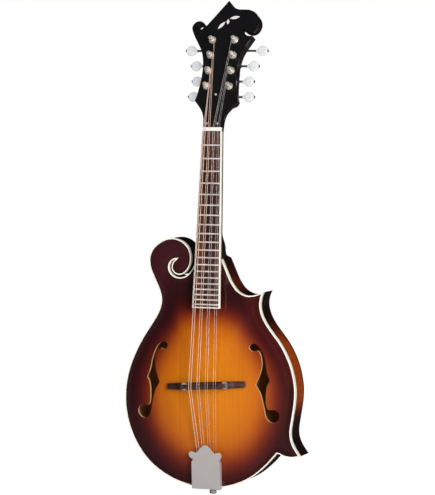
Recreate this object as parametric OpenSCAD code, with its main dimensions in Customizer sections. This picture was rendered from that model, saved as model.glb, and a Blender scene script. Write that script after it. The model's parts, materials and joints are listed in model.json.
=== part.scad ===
// Eight-string mandolin with a carved, scrolled body, f-holes, a floating
// adjustable bridge, a slide-off tailpiece cover and two four-on-a-plate
// geared tuner sets.
// Frame: +Z runs up the centreline to the headstock, -Y is the front (string)
// side, +X is the treble side. The origin is the centre of the strap button's
// head, at mid-depth of the ribs.

/* [Body] */
// Depth of the body at its edge, front face to back face
body_depth = 41.4; // [38:0.1:46]
// Thickness of the top and back plates at the edge
plate_t = 4.2; // [3.5:0.1:5]
// Rise of the carved top above its edge
top_arch = 12.5; // [9:0.5:15]
// Rise of the carved back above its edge
back_arch = 11.0; // [8:0.5:14]
// Thickness of the bent ribs
rib_t = 2.4; // [2.2:0.1:3]
// Width of the edge binding
bind_w = 1.6; // [1.2:0.1:1.9]
// Depth of the edge binding down the side
bind_d = 6.7; // [5:0.1:8]

/* [Neck] */
// Vibrating string length from nut to twelfth fret, times two
scale_len = 352.4; // [349:0.1:355]
// Number of frets
fret_count = 20; // [16:1:20]
// Fingerboard width at the nut
nut_w = 28.6; // [27:0.1:30]
// Fingerboard width at its body end
board_w = 40.5; // [40:0.1:42]
// Fingerboard thickness
board_t = 5.2; // [4.5:0.1:6]
// Height of the fret crowns
fret_h = 1.0; // [0.7:0.05:1.2]

/* [Bridge] */
// Height of the saddle's top above the front edge plane
saddle_h = 29.3; // [28.8:0.1:30]
// Length of the bridge base
bridge_len = 114.7; // [110:0.5:120]
// Slant of the bridge, degrees, treble end nearer the neck
bridge_slant = 3.9; // [2:0.1:5]

/* [Tuners] */
// Teeth on each tuner gear
gear_teeth = 16; // [16:1:16]
// Distance between neighbouring string posts
post_pitch = 23; // [22.5:0.1:24]
// Distance across between the two rows of posts
post_across = 33.25; // [32:0.25:34]
// Diameter of the tuner buttons
button_d = 14.8; // [12:0.1:15]

/* [Strings] */
// Radius of the lowest wound string pair
r_g = 0.51; // [0.4:0.01:0.55]
// Radius of the second wound string pair
r_d = 0.33; // [0.25:0.01:0.4]
// Radius of the thicker plain pair
r_a = 0.19; // [0.15:0.01:0.22]
// Radius of the thinnest plain pair
r_e = 0.14; // [0.1:0.01:0.2]

/* [Hidden] */
$fn = 32;
gap = 0.02;                   // clearance between neighbouring pieces
front_y = -body_depth/2;      // front edge plane
back_y = body_depth/2;        // back edge plane
top_in_y = front_y + plate_t; // inner face of the top plate's edge
back_in_y = back_y - plate_t; // inner face of the back plate's edge
bind_y = front_y + bind_d;    // back edge of the binding
joint_z = 331;                // body edge at the neck
tilt = 4.442;                 // neck leans back
neck_origin = [0, front_y - 13.92, 305];       // board top at the fifteenth fret
nut_z = scale_len*(1 - pow(2, -15/12));        // in the neck frame
board_len = 246.5;
board_end_z = nut_z - board_len;
head_rel = 19.32 - tilt;      // headstock's own lean, from the neck
head_origin = [0, 3, nut_z + 5];               // in the neck frame
head_t = 15.5;                // headstock thickness with its face veneer
veneer_t = 1.6;

// ---------- paths and faces ----------
function end_point(path, i) =
  i < 0 ? 2*path[0] - path[1]
  : i >= len(path) ? 2*path[len(path)-1] - path[len(path)-2]
  : path[i];
// Catmull-Rom point between from and to
function curve_point(last, from, to, next, t) =
  0.5*(2*from + (to-last)*t + (2*last-5*from+4*to-next)*t*t + (3*from-last-3*to+next)*t*t*t);
// open spline without its last point
function spline(path, steps) = [for (i=[0:len(path)-2]) for (k=[0:steps-1])
  curve_point(end_point(path, i-1), path[i], path[i+1], end_point(path, i+2), k/steps)];
function spline_to(path, end, steps) = spline(concat(path, [end]), steps);
function whole_spline(path) = concat(spline(path, 2), [path[len(path)-1]]);
function closed_spline(path) = let (n = len(path)) [for (i=[0:n-1]) for (k=[0:1])
  curve_point(path[(i+n-1)%n], path[i], path[(i+1)%n], path[(i+2)%n], k/2)];
function unit(v) = v/norm(v);
// inward mitred offset of a counter-clockwise polygon
function inset(path, dist) = let (n = len(path)) [for (i=[0:n-1])
  let (before = unit(path[i]-path[(i+n-1)%n]), after = unit(path[(i+1)%n]-path[i]),
    a = [-before[1], before[0]], b = [-after[1], after[0]])
  path[i] + dist*(a+b)/(1+a*b)];
// offset of an open path to its left
function shift_path(path, dist) = let (n = len(path)) [for (i=[0:n-1])
  let (u = unit(path[min(i+1,n-1)]-path[max(i-1,0)])) path[i] + dist*[-u[1], u[0]]];
function reversed(list) = [for (i=[len(list)-1:-1:0]) list[i]];
// right half outline, closed by its mirror image; points on x = 0 are not doubled
function symmetric(half) =
  concat(half, [for (p=reversed(half)) if (p[0] != 0) [-p[0], p[1]]]);
function rect(left, low, right, high) = [[left,low], [right,low], [right,high], [left,high]];
function smooth(u) = let (v = max(0, min(1, u))) v*v*(3-2*v);
// faces of a stack of rings with n points each
function side_faces(n, bands) = [for (j=[0:bands-1]) for (i=[0:n-1])
  let (a = j*n+i, b = j*n+(i+1)%n) each [[a,a+n,b+n], [a,b+n,b]]];
function loft_faces(n, bands) = concat([[for (i=[0:n-1]) i]],
  [[for (i=[n-1:-1:0]) bands*n+i]], side_faces(n, bands));

// prism from an (x, z) outline, between front y0 and back y1
module prism(outline, y0, y1) {
  translate([0,y1,0]) rotate([90,0,0]) linear_extrude(height=y1-y0) polygon(outline);
}
// prism from a (y, z) profile, running along +x
module x_prism(profile, length) {
  rotate([90,0,90]) linear_extrude(height=length) polygon(profile);
}
module cross_slot(length, width, z, depth) {
  for (a=[0,90]) rotate([0,0,a]) translate([-length/2,-width/2,z]) cube([length,width,depth]);
}

// ---------- body outline ----------
// (x, z) points, counter-clockwise seen from the front
slot_pts = [[-20.5,joint_z],[-21.6,325.6],[-24.4,319.6],[-27.6,314],[-31.6,309.2],[-36,305.6],
  [-41,303.9],[-46.3,303.4],[-51.5,304.4],[-56.5,307.4],[-59.9,312],[-61.2,317.5],[-60,322.2],
  [-57.6,325.8],[-54.2,328.2]];
scroll_pts = [[-51.5,328.4],[-54.2,326.2],[-56.4,322.4],[-57.3,317.4],[-56.3,313.5],
  [-53.5,309.8],[-49.8,307.6],[-45.3,307],[-40.6,308],[-35.9,311.4],[-31.7,317],[-29.3,323.4],
  [-28.5,330.2],[-29.3,337.6],[-32.3,345.2],[-38,351.6],[-45.2,356],[-53.8,358.2],[-62.4,357.8],
  [-71,354.8],[-79.6,349.2],[-86.3,342],[-90.1,334],[-91,326],[-89.6,316],[-85.2,305]];
left_pts = [[-79.4,293],[-74.6,281.5],[-72.8,270],[-74.9,259.5],[-80.2,248],[-88,235.8],
  [-96.4,223],[-104.2,210],[-111.2,196.2],[-117.4,181.4],[-122.2,166],[-125.4,150],[-126.5,134],
  [-125.9,118],[-123,101.5],[-117.6,84.5],[-109.4,67.4],[-98.2,50.8],[-84.2,36.6],[-67.2,24.9],
  [-48,15.9],[-26,10.4],[0,8.9],[23,10.2],[45,16.8],[64.5,27],[81.6,41],[93,53.2]];
foot_pts = [[100.6,62.2],[104.6,61.6],[109.4,59.2],[115.6,57.8],[124,57.6]];
right_pts = [[134.2,59.8],[128,68.4],[123.6,76],[121,84],[120.2,93],[121.3,103],[123.2,115],
  [125.2,128],[126.4,141],[126.3,154],[124,169],[119.6,185],[113,200.3],[104.4,215],[94.4,228],
  [84.6,240.8],[78,252.4],[75,262],[74.2,269.6],[75,276.2],[76.5,281.6]];
cutaway_pts = [[78.8,286.6],[73,284.4],[66,282.1],[59,280.9],[52.4,281.4],[46,284],[39.8,288.3],
  [34.6,294.6],[30,302],[26.2,310.4],[23,317.6],[20,324.2]];
cutaway_end = [17, joint_z];
full_outline = concat(
  spline_to(slot_pts, [-51.4,328.9], 2), [[-51.2,328.75]],
  spline_to(scroll_pts, left_pts[0], 2),
  spline_to(left_pts, foot_pts[0], 3),
  foot_pts,
  spline_to(right_pts, cutaway_pts[0], 3),
  spline_to(cutaway_pts, cutaway_end, 2), [cutaway_end]);
// keep a point unless it crowds one of the two sharp tips, where a mitre needs room
function clears(p, tip, radius) = let (dist = norm(p-tip)) dist < 0.01 || dist > radius;
function thin_tips(radius) = [for (p=full_outline)
  if (clears(p, right_pts[0], radius) && clears(p, cutaway_pts[0], radius)) p];
outline = thin_tips(5.2);
bind_inner = inset(outline, bind_w);
rib_inner = inset(thin_tips(8), rib_t);

// ---------- carved plates ----------
// foot of the arch, (x, z)
arch_pts = closed_spline([[0,21],[29,23.5],[56,33.5],[78,51],[94,72],[104.5,94],[110.5,118],
  [112,143],[107.5,168],[98,191],[85,212],[71.5,233],[62.5,252],[57.5,264],[49.5,272.5],
  [38.5,279.2],[25,284],[9,286.5],[-9,286.5],[-26,285],[-42,282.5],[-54,276.5],[-60,266],
  [-63,252],[-72,233],[-85.5,212],[-98.5,191],[-108,168],[-112.5,143],[-111,118],[-105,94],
  [-94.5,72],[-78.5,51],[-56.5,33.5],[-29.5,23.5]]);
arch_mid = [0,150];
arch_bands = 10;
dome_sink = 0.25;             // the rim starts this far inside rim_y
hollow_size = 0.975;
function rise(share) = pow(sin(90*pow(share,0.78)), 2);
// closed dome swelling from rim_y along way (-1 front, 1 back); its foot lies 1 mm the other way
module dome(rim_y, height, way, size) {
  n = len(arch_pts);
  rings = [for (j=[-1:arch_bands-1]) for (p=arch_pts)
    let (share = max(j,0)/arch_bands, q = arch_mid + (p-arch_mid)*size*(1-share))
    [q[0], j<0 ? rim_y-way : rim_y+way*(height*rise(share)-dome_sink), q[1]]];
  apex = [arch_mid[0], rim_y+way*(height-dome_sink), arch_mid[1]];
  base = arch_bands*n;
  faces = concat([[for (i=[0:n-1]) i]], side_faces(n, arch_bands),
    [for (i=[0:n-1]) [base+i, base+n, base+(i+1)%n]]);
  polyhedron(concat(rings, [apex]), way < 0 ? faces : [for (f=faces) reversed(f)]);
}
module top_dome() {
  dome(front_y, top_arch+dome_sink, -1, 1);
}

f_hole_right = closed_spline([[59,209.2],[61,213],[65.2,214.7],[70.4,213],[75,208.4],[78.8,202],
  [81.6,194.6],[83.4,187],[84.8,179.6],[86.6,172.4],[89.6,165.2],[89.6,162.6],[86.8,157.6],
  [85.2,150.6],[84.6,142],[84.8,133],[86,126.6],[88.8,123],[94.8,123.4],[100.6,121.4],
  [104,116.8],[102.8,110.4],[97,105.4],[90.4,106.2],[86,110.4],[83.6,117],[82,125],[80.4,133],
  [78.6,140],[76.2,146.8],[73,152.4],[70.2,156.6],[70.6,159.4],[73,165],[75.4,171.6],
  [77.2,178.6],[78,186],[77.4,192.6],[75.8,198.6],[73,203.8],[69.8,205],[65.4,203.6],
  [61.2,205.2]]);
// mirrored, then set slightly over and lower
f_hole_left = [for (p=f_hole_right) [-p[0]-2.2, p[1]-2]];

module top_plate() color([0.72,0.36,0.12]) difference() {
  union() {
    prism(bind_inner, front_y, top_in_y);
    top_dome();
  }
  dome(top_in_y, top_arch+0.05, -1, hollow_size);
  prism(f_hole_right, front_y-20, front_y+12);
  prism(f_hole_left, front_y-20, front_y+12);
}

// heel button, right half: shoulder, waist, rounded end
heel_half = [[15,329],[16.9,331],[14.4,332.2],[11.8,333.3],[10,335],[9.3,337.6],[8.6,340.6],
  [6.9,343.4],[4.1,345.2],[0,345.8]];
module back_plate() color([0.40,0.14,0.08]) difference() {
  union() {
    prism(outline, back_in_y, back_y);
    dome(back_y, back_arch+dome_sink, 1, 1);
    prism(symmetric(heel_half), back_in_y, back_y);
  }
  dome(back_in_y, back_arch+0.05, 1, hollow_size);
}

// ---------- ribs, blocks, linings and binding ----------
tenon = symmetric([[13.5,307],[10,joint_z],[10,joint_z+0.5]]);
tenon_back_y = 9;
slot_half = 10.45;            // half width of the tenon's opening in ribs and binding
tail_screw_x = 11;
tail_screw_y = -9;
block_wood = [0.62,0.42,0.24];

module at_tail_screws(z) {
  for (side=[-1,1]) translate([side*tail_screw_x,tail_screw_y,z]) children();
}
// holes for the strap button's stem and the two tailpiece screws
module tail_holes(stem_depth) {
  translate([0,0,5]) cylinder(r=2.03, h=stem_depth);
  at_tail_screws(5) cylinder(r=1.03, h=12);
}
// the space between the ribs and plates
module inside() {
  prism(inset(rib_inner,gap), top_in_y+gap, back_in_y-gap);
}

module ribs() color([0.35,0.13,0.07]) difference() {
  union() {
    prism(outline, bind_y+gap, back_in_y);
    prism(bind_inner, top_in_y, bind_y+gap);
  }
  prism(rib_inner, front_y, back_y);
  prism(rect(-slot_half,328,slot_half,333), front_y, tenon_back_y+gap);
  tail_holes(12);
}
module head_block() color(block_wood) difference() {
  intersection() {
    inside();
    prism([[-100,345],[-92,300],[-66,292],[-30,284],[34,284],[36,300],[26,335],[-20,335],
      [-26,362],[-80,362]], front_y, back_y);
  }
  prism(inset(tenon,-gap), front_y, tenon_back_y+gap);
}
module tail_block() color(block_wood) difference() {
  intersection() {
    inside();
    prism(symmetric([[34,0],[30,27]]), front_y, back_y);
  }
  tail_holes(22);
}
module point_blocks() color(block_wood) intersection() {
  inside();
  union() {
    prism([[95,50],[145,50],[140,78],[112,78],[95,66]], front_y, back_y);
    prism(rect(54,265.5,85,300), front_y, back_y);
  }
}

// stretches of rib that carry a lining strip at both plates
lining_runs = [[for (i=[2:20]) left_pts[i]], [for (i=[24:27]) left_pts[i]],
  [for (i=[4:17]) right_pts[i]]];
lining_d = 7;                 // depth from the plate
module linings() color([0.80,0.66,0.45]) for (run=lining_runs) {
  path = spline(run, 3);
  strip = concat(shift_path(path, rib_t+0.3), reversed(shift_path(path, rib_t+4.6)));
  prism(strip, top_in_y+gap, top_in_y+lining_d);
  prism(strip, back_in_y-lining_d, back_in_y-gap);
}
module tone_bars() color([0.85,0.70,0.48]) intersection() {
  dome(top_in_y+gap, top_arch+0.05, -1, 0.97);
  // x at mid-length, turn in degrees
  union() for (bar=[[-26,3.5],[22,-3.5]])
    translate([bar[0],-27.6,140]) rotate([0,bar[1],0]) translate([-3,-4,-75]) cube([6,9.5,150]);
}
module body_binding() color([0.93,0.89,0.78]) difference() {
  prism(outline, front_y, bind_y);
  prism(inset(outline,bind_w-gap), front_y-1, bind_y+1);
  prism(rect(-slot_half,328,slot_half,336), top_in_y, bind_y+1);
}

// ---------- neck and headstock frames ----------
// neck: z up the neck from the fifteenth fret, y back from the board's top
module neck_frame() {
  translate(neck_origin) rotate([-tilt,0,0]) children();
}
// headstock: z up the headstock, y back from its face
module head_frame() {
  neck_frame() translate(head_origin) rotate([-head_rel,0,0]) children();
}
// put local +z square out of the headstock's face
module on_head(x, z, out=0) {
  head_frame() translate([x,-out,z]) rotate([90,0,0]) children();
}
// slab of the headstock between two distances out of its face
module head_slab(outline, out0, out1) {
  head_frame() prism(outline, -out1, -out0);
}
function half_w(z) = (nut_w + (board_w-nut_w)*(nut_z-z)/board_len)/2;

// ---------- tuner places on the headstock ----------
post_x = post_across/2;
post_z = [for (i=[0:3]) 61.3 + i*post_pitch];
plate_screw_z = [post_z[0]-14.6, post_z[0]+9.05, post_z[1]+9.05, post_z[2]+9.05, post_z[3]+10.4];
screw_hole_r = 0.62;
module at_posts(out=0) {
  for (side=[-1,1]) for (z=post_z) on_head(side*post_x, z, out) children();
}
module at_plate_screws(out=0) {
  for (side=[-1,1]) for (z=plate_screw_z) on_head(side*post_x, z, out) children();
}
cover_screws = [[-0.8,48.2],[-8.6,5.4],[7.0,5.4]];   // (x, z)
module at_cover_screws(out=0) {
  for (p=cover_screws) on_head(p[0], p[1], out) children();
}

// ---------- neck ----------
rod_y = board_t + 5.5;        // truss rod axis, in the neck frame
// neck section at z: half width, top y, depth, fullness
function section(z) = let (slim = smooth((z-43)/21), thick = smooth((z-(nut_z-4))/24)) [
  half_w(min(z,nut_z+2)) - 0.05,
  board_t + max(0, (z-nut_z-3)*0.30),
  17.4 + 31*(1-slim) - 1.6*smooth((z-70)/130) + 0.4*thick,
  2.35 - 0.3*(1-slim)];
section_z = [20,32,42,44.5,47,49.4,51.8,54.2,56.6,59,61.6,65,72,84,100,125,150,175,192,200,205,
  209,213,217,221,225];
section_steps = 20;
module neck_loft() {
  points = [for (z=section_z) let (s = section(z), power = 2/s[3])
    for (k=[0:section_steps]) let (a = 180*k/section_steps, c = cos(a))
    [s[0]*sign(c)*pow(abs(c),power), s[1] + s[2]*pow(abs(sin(a)),power), z]];
  polyhedron(points, loft_faces(section_steps+1, len(section_z)-1));
}

// headstock outline (x, z), up the treble side and down the bass side
head_outline = concat(
  whole_spline([[14.2,-1],[14.4,4],[15.0,12],[17.6,21.5],[24.6,30.4],[33.4,37.6]]),
  whole_spline([[32.8,39.4],[30.9,44],[28.3,53.7],[26.3,69.3],[25,84.9],[25.5,97.4],
    [28.4,110.6],[34.2,122.5],[42.2,136.2]]),
  whole_spline([[41.4,136],[36,136.1],[32,138],[28.8,141.4],[25,146]]),
  whole_spline([[25.6,148],[29.6,144.8],[35,142.4],[41,142.4],[46,145.4],[49.2,151],[50,158],
    [47.4,165.4],[41.4,171.6],[33,175.2],[24,175.6],[16.3,176.2],[11,178.8],[6.6,183.4],
    [1.6,189]]),
  [[0.6,188.2],[-7.9,177],[-16.9,165.4],[-23.2,157.4]],
  whole_spline([[-28,151.2],[-31.8,155.4],[-36.6,158.4],[-42,158.2],[-46.6,155],[-49,149.6],
    [-47.6,143.6],[-43.6,135.6],[-37.2,124.9],[-31.9,116],[-28,105.9],[-25.6,92],[-25.4,80],
    [-26,69.2],[-27.8,55],[-29.6,45],[-31.3,39.6]]),
  whole_spline([[-30.6,38.4],[-24.6,31.4],[-18.4,22.6],[-15.2,12.6],[-14.4,4],[-14.2,-1]]));
// back of the lower wings: scooped towards the neck, bevelled along the edge
module scoop(side) head_frame() mirror([side<0 ? 1 : 0,0,0]) {
  translate([11.5,0,0]) x_prism([[7,-10],[7,30],[15.6,39.6],[40,39.6],[40,-10]], 40);
  translate([0,0,-8]) linear_extrude(height=98) polygon([[25,15.6],[40,0.4],[40,30],[25,30]]);
}
rod_pocket = symmetric([[3.4,1.2],[3.4,30],[2,33]]);
// openings shared by the headstock and its veneer
module head_openings() {
  at_posts(-8) cylinder(r=4.02, h=10);
  // round eye in the bass-side scroll
  on_head(-36.6,150.4,-16) cylinder(r1=5.6, r2=4.3, h=20, $fn=48);
  head_slab(rod_pocket, -9, 1);
  at_cover_screws(-9) cylinder(r=screw_hole_r, h=10, $fn=16);
}
module neck() color([0.16,0.06,0.05]) difference() {
  union() {
    difference() {
      neck_frame() neck_loft();
      translate([-40,-60,250]) cube([80,100,joint_z-250]);
      translate([-40,back_in_y-gap,300]) cube([80,40,60]);
      head_slab(rect(-30,-6,30,40), -veneer_t, 20);
    }
    difference() {
      head_slab(head_outline, -head_t, -veneer_t);
      scoop(1);
      scoop(-1);
    }
    prism(tenon, top_in_y+gap, tenon_back_y);
    // riser that carries the board over the body
    difference() {
      neck_frame() translate([-17,board_t,-18]) cube([34,22,46]);
      translate([-40,front_y-gap,200]) cube([80,60,joint_z-200]);
    }
  }
  // room for the board
  neck_frame() translate([-20,board_t-30,-60]) cube([40,30,60+nut_z]);
  // truss rod channel
  neck_frame() translate([0,rod_y,38]) cylinder(r=2.23, h=nut_z);
  neck_frame() translate([-2.23,board_t-2,38]) cube([4.46,7.5,nut_z-37]);
  head_openings();
  at_posts(-20) cylinder(r=3.3, h=15);
  at_plate_screws(-20) cylinder(r=screw_hole_r, h=12, $fn=16);
}
module headstock_veneer() color([0.03,0.03,0.035]) difference() {
  head_slab(head_outline, -veneer_t+0.01, 0);
  head_openings();
  inlay(0.01, -0.9, 1);
  head_slab(rect(-30,-6,30,-0.2), -6, 6);
}

// plain pearl ornament: two leaves and a diamond
leaf_steps = 8;
function leaf(centre, turn, length=15, half=2.3) = [for (k=[0:2*leaf_steps-1])
  let (up = k<leaf_steps, u = (up ? k : 2*leaf_steps-k)/leaf_steps,
    x = length*(u-0.5), y = (up ? -1 : 1)*half*sin(180*u))
  centre + [x*cos(turn)-y*sin(turn), x*sin(turn)+y*cos(turn)]];
inlay_outlines = [leaf([-5.5,152],48), leaf([13,163.6],12),
  [[3.4,153.2],[5.9,157.4],[3.4,161.6],[0.9,157.4]]];
module inlay(grow, out0, out1) {
  for (part=inlay_outlines) head_slab(inset(part,-grow), out0, out1);
}
module headstock_inlay() color([0.92,0.92,0.88]) inlay(0, -0.88, 0.02);

module truss_rod() color([0.5,0.5,0.52]) {
  neck_frame() translate([0,rod_y,39]) cylinder(r=2.2, h=nut_z-29);
  neck_frame() translate([0,rod_y,nut_z+9.4]) cylinder(r=3.1, h=7, $fn=6);
}
cover_half = whole_spline([[0,1.6],[5,1.6],[9.6,1.8],[10.8,5],[9.4,11],[6.4,19],[5.2,28],[5,38],
  [5.2,46],[3.6,51.4],[0,53.4]]);
cover_x = -0.8;
module truss_cover() color([0.02,0.02,0.02]) difference() {
  head_slab([for (p=symmetric(cover_half)) p+[cover_x,0]], gap, 1.5);
  at_cover_screws(-1) cylinder(r=0.9, h=4, $fn=20);
}
module truss_cover_screws() color([0.75,0.75,0.72]) at_cover_screws() difference() {
  union() {
    translate([0,0,1.52]) cylinder(r1=1.7, r2=1.3, h=0.6, $fn=24);
    translate([0,0,-6]) cylinder(r=0.6, h=7.6, $fn=16);
  }
  cross_slot(1.8, 0.36, 1.8, 1);
}

// ---------- fingerboard, frets and nut ----------
fret_z = [for (n=[1:fret_count]) nut_z - scale_len*(1-pow(2,-n/12))];
// board blank tapering from body end to nut, drawn in at the sides and body end
function board_outline(sides, end) = symmetric([
  [half_w(board_end_z+end)-sides, board_end_z+end], [half_w(nut_z)-sides, nut_z]]);
module fingerboard() color([0.20,0.09,0.06]) difference() {
  neck_frame() prism(board_outline(1.5,1.5), 0, board_t-0.01);
  for (z=fret_z)
    neck_frame() translate([-half_w(z)-1,-1,z-0.31]) cube([2*half_w(z)+2,2.85,0.62]);
}
module board_binding() color([0.93,0.89,0.76]) difference() {
  neck_frame() prism(board_outline(0,0), 0, board_t-0.01);
  neck_frame() prism(board_outline(1.49,1.49), -1, board_t+1);
}
module frets() color([0.75,0.75,0.72]) for (z=fret_z) {
  crown_half = half_w(z) - 0.35;
  tang_half = half_w(z) - 1.6;
  neck_frame() translate([-crown_half,0,z])
    x_prism([for (k=[0:10]) let (a = 180*k/10)
      [-(0.01+fret_h*pow(abs(sin(a)),0.8)), 1.05*cos(a)]], 2*crown_half);
  neck_frame() translate([-tang_half,-0.2,z-0.3]) cube([2*tang_half,2,0.6]);
}

// strings 0 to 7 run from bass to treble, in four courses of two
radii = [r_g,r_g,r_d,r_d,r_a,r_a,r_e,r_e];
saddle_course_x = [for (i=[0:3]) -18.2 + i*36.4/3];
crown_z = [-1.2,0.3,-1.0,0.9];                 // saddle crown of each course
function course(i) = floor(i/2);
function pair_side(i) = i%2 == 0 ? -1 : 1;
function nut_x(i) = -10.1 + course(i)*20.2/3 + 1.1*pair_side(i);
function saddle_x(i) = saddle_course_x[course(i)] + 1.7*pair_side(i);
nut_top = 2.6;                // nut's top above the board
string_rest = 1.2;            // floor of the nut slots above the board
module nut() color([0.95,0.94,0.88]) difference() {
  neck_frame() translate([-nut_w/2,-nut_top,nut_z+gap]) cube([nut_w,nut_top+board_t-gap,4.9]);
  // sloped top
  neck_frame() translate([-20,-nut_top,nut_z+5]) rotate([-12,0,0]) translate([0,-5,-10])
    cube([40,5,20]);
  head_slab(rect(-30,-6,30,3), -6, gap);
  for (i=[0:7]) neck_frame() translate([nut_x(i)-radii[i]-0.15,-4,nut_z-2])
    cube([2*radii[i]+0.3,4-string_rest,12]);
}

// ---------- bridge ----------
saddle_z = 154.5;
saddle_y = front_y - saddle_h;
bridge_half = bridge_len/2;
bridge_post_x = 30;
module bridge_frame() {
  translate([0,0,saddle_z]) rotate([0,-bridge_slant,0]) children();
}
module at_bridge_posts(y) {
  for (side=[-1,1]) translate([side*bridge_post_x,y,0]) rotate([90,0,0]) children();
}
// front edge of the base, (x, y), treble end to the raised middle
base_front = spline([[bridge_half,-34.4],[bridge_half-4,-35.2],[bridge_half-14,-36.1],
  [bridge_half-20,-38.2],[bridge_half-23,-38.6]], 2);
module bridge_base() color([0.14,0.05,0.04]) difference() {
  bridge_frame() intersection() {
    translate([0,0,-5.4]) linear_extrude(height=10.8)
      polygon(symmetric(concat([[bridge_half,-24]], base_front, [[0,-38.6]])));
    translate([0,-20,0]) rotate([90,0,0]) linear_extrude(height=30)
      polygon(symmetric([[30,-5.1],[bridge_half-6,-4.5],[bridge_half,-4.1],[bridge_half,4.1],
        [bridge_half-6,4.5],[30,5.1]]));
  }
  top_dome();
  bridge_frame() at_bridge_posts(-30) cylinder(r=1.92, h=12);
}
module bridge_posts() color([0.8,0.76,0.66]) {
  bridge_frame() at_bridge_posts(-34.2) cylinder(r=1.9, h=11.6);
}
notch_y = saddle_y + 0.28;    // floor of the string notches at the crown
module saddle() color([0.12,0.045,0.035]) bridge_frame() difference() {
  union() {
    translate([0,0,-2.9]) linear_extrude(height=5.8) polygon(symmetric([[35.6,-41.4],[35.6,-45],
      [33.5,-46.6],[29,-47.4],[24,-48.4],[20.6,saddle_y+0.6]]));
    for (i=[0:3]) translate([saddle_course_x[i]-5,0,crown_z[i]-1.2])
      linear_extrude(height=2.4) polygon(rect(0,saddle_y,10,saddle_y+1));
  }
  at_bridge_posts(-41) cylinder(r=1.97, h=5.6);
  // string notches: floor highest at the crown, falling away to both sides
  for (i=[0:7]) translate([saddle_x(i),0,crown_z[course(i)]]) rotate([0,bridge_slant,0])
    translate([-radii[i]-0.18,0,0])
    x_prism([[saddle_y-3,-9],[notch_y+9*0.235,-9],[notch_y,-0.15],[notch_y,0.15],
      [notch_y+9*0.11,9],[saddle_y-3,9]], 2*radii[i]+0.36);
}
module thumbwheel(side) color([0.8,0.78,0.7])
  bridge_frame() translate([side*bridge_post_x,-39.18,0]) rotate([90,0,0]) difference() {
    union() {
      cylinder(r=4.9, h=2.2, $fn=48);
      for (k=[0:23]) rotate([0,0,15*k]) translate([4.7,-0.28,0.15]) cube([0.62,0.56,1.9]);
    }
    translate([0,0,-1]) cylinder(r=1.96, h=5);
  }
module thumbwheel_bass() thumbwheel(-1);
module thumbwheel_treble() thumbwheel(1);

// ---------- tailpiece ----------
// deck frame: z up the sloping deck, y back from it
deck_tilt = 5;
deck_origin = [0,-20.95,9];
module deck_frame() {
  translate(deck_origin) rotate([deck_tilt,0,0]) children();
}
module on_deck(outline, out0, out1) {
  deck_frame() prism(outline, -out1, -out0);
}
hook_x = [-13.2,-9.4,-5.8,-2.4,2.4,5.8,9.4,13.2];
hook_z = 33;
hook_out = 2.3;               // string loops' height above the deck
module tailpiece_base() color([0.6,0.6,0.6]) difference() {
  union() {
    on_deck(symmetric([[19.2,-1.1],[19.2,42],[16,46],[6,48.5]]), 0.05, 1.25);
    for (left=[18.4,-19.8]) on_deck(rect(left,4,left+1.4,38), 0.05, 3.3);
    prism(rect(-15.5,7.6,15.5,8.84), front_y-1.0, 1);
    translate([0,0,7.6]) cylinder(r=8.5, h=1.24, $fn=48);
    for (x=hook_x) deck_frame() translate([x-0.55,0,hook_z]) x_prism([[-0.6,-0.2],[-3.0,-0.2],
      [-3.0,-2.6],[-3.7,-2.9],[-3.7,0.5],[-3.3,0.8],[-0.6,0.8]], 1.1);
  }
  translate([0,0,5]) cylinder(r=2.05, h=6);
  at_tail_screws(5) cylinder(r=1.1, h=6);
}
module tailpiece_screws() color([0.7,0.7,0.7]) at_tail_screws(0) difference() {
  union() {
    translate([0,0,6.4]) cylinder(r1=1.3, r2=2.1, h=1.18, $fn=24);
    translate([0,0,7]) cylinder(r=1.0, h=9, $fn=20);
  }
  cross_slot(2.2, 0.4, 6, 0.9);
}
lid_half_w = 20.7;
lid_half = [[0,-0.5],[lid_half_w,-0.5],[lid_half_w,37.6],[19.2,40.2],[18.4,42.6],[20.6,42.9],
  [22.8,44.6],[24.3,47.6],[24.2,50.2],[22.6,52.2],[20.2,52.9],[17.8,52.4],[15.6,51.4],
  [13.4,51.6],[11.4,53],[9.6,55.4],[7.2,58.2],[4.6,60.6],[2.2,62.2],[0,62.8]];
module tailpiece_cover() color([0.72,0.71,0.7]) {
  on_deck(symmetric(lid_half), 9.2, 10);
  for (left=[lid_half_w-0.8,-lid_half_w]) on_deck(rect(left,-0.5,left+0.8,37.6), 0.3, 9.3);
  on_deck(rect(-lid_half_w,-0.5,lid_half_w,0.3), 3.5, 9.3);
}
module strap_button() color([0.8,0.8,0.8]) {
  rotate_extrude($fn=64) polygon([[0,-2.9],[3.4,-2.9],[4.5,-2.4],[5.0,-1.6],[5.0,1.6],[4.4,2.1],
    [3.2,2.5],[2.9,3.6],[3.1,5.2],[4.2,6.1],[4.4,7.5],[0,7.5]]);
  translate([0,0,7.4]) cylinder(r=2.0, h=16);
}

// ---------- tuners ----------
worm_drop = 9.0;              // worm axis below the post axis, along the headstock
worm_pitch = 2*PI*6.6/gear_teeth;              // from the gear's pitch radius
gear_out = -20;               // gear mid-plane and worm axis, behind the face
gear_t = 2.6;
gear_low = gear_out - gear_t/2;
gear_high = gear_out + gear_t/2;
plate_out = -head_t - 1.22;   // back face of the tuner plates
button_x = [24.7,21.9,26.2,36.6];  // button centre from its post line, nut row first
post_r = 3.0;
post_hole_r = post_r + 0.06;
module on_worm_axis(side, row, x=0) {
  on_head(side*(post_x+x), post_z[row]-worm_drop, gear_out) children();
}
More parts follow.
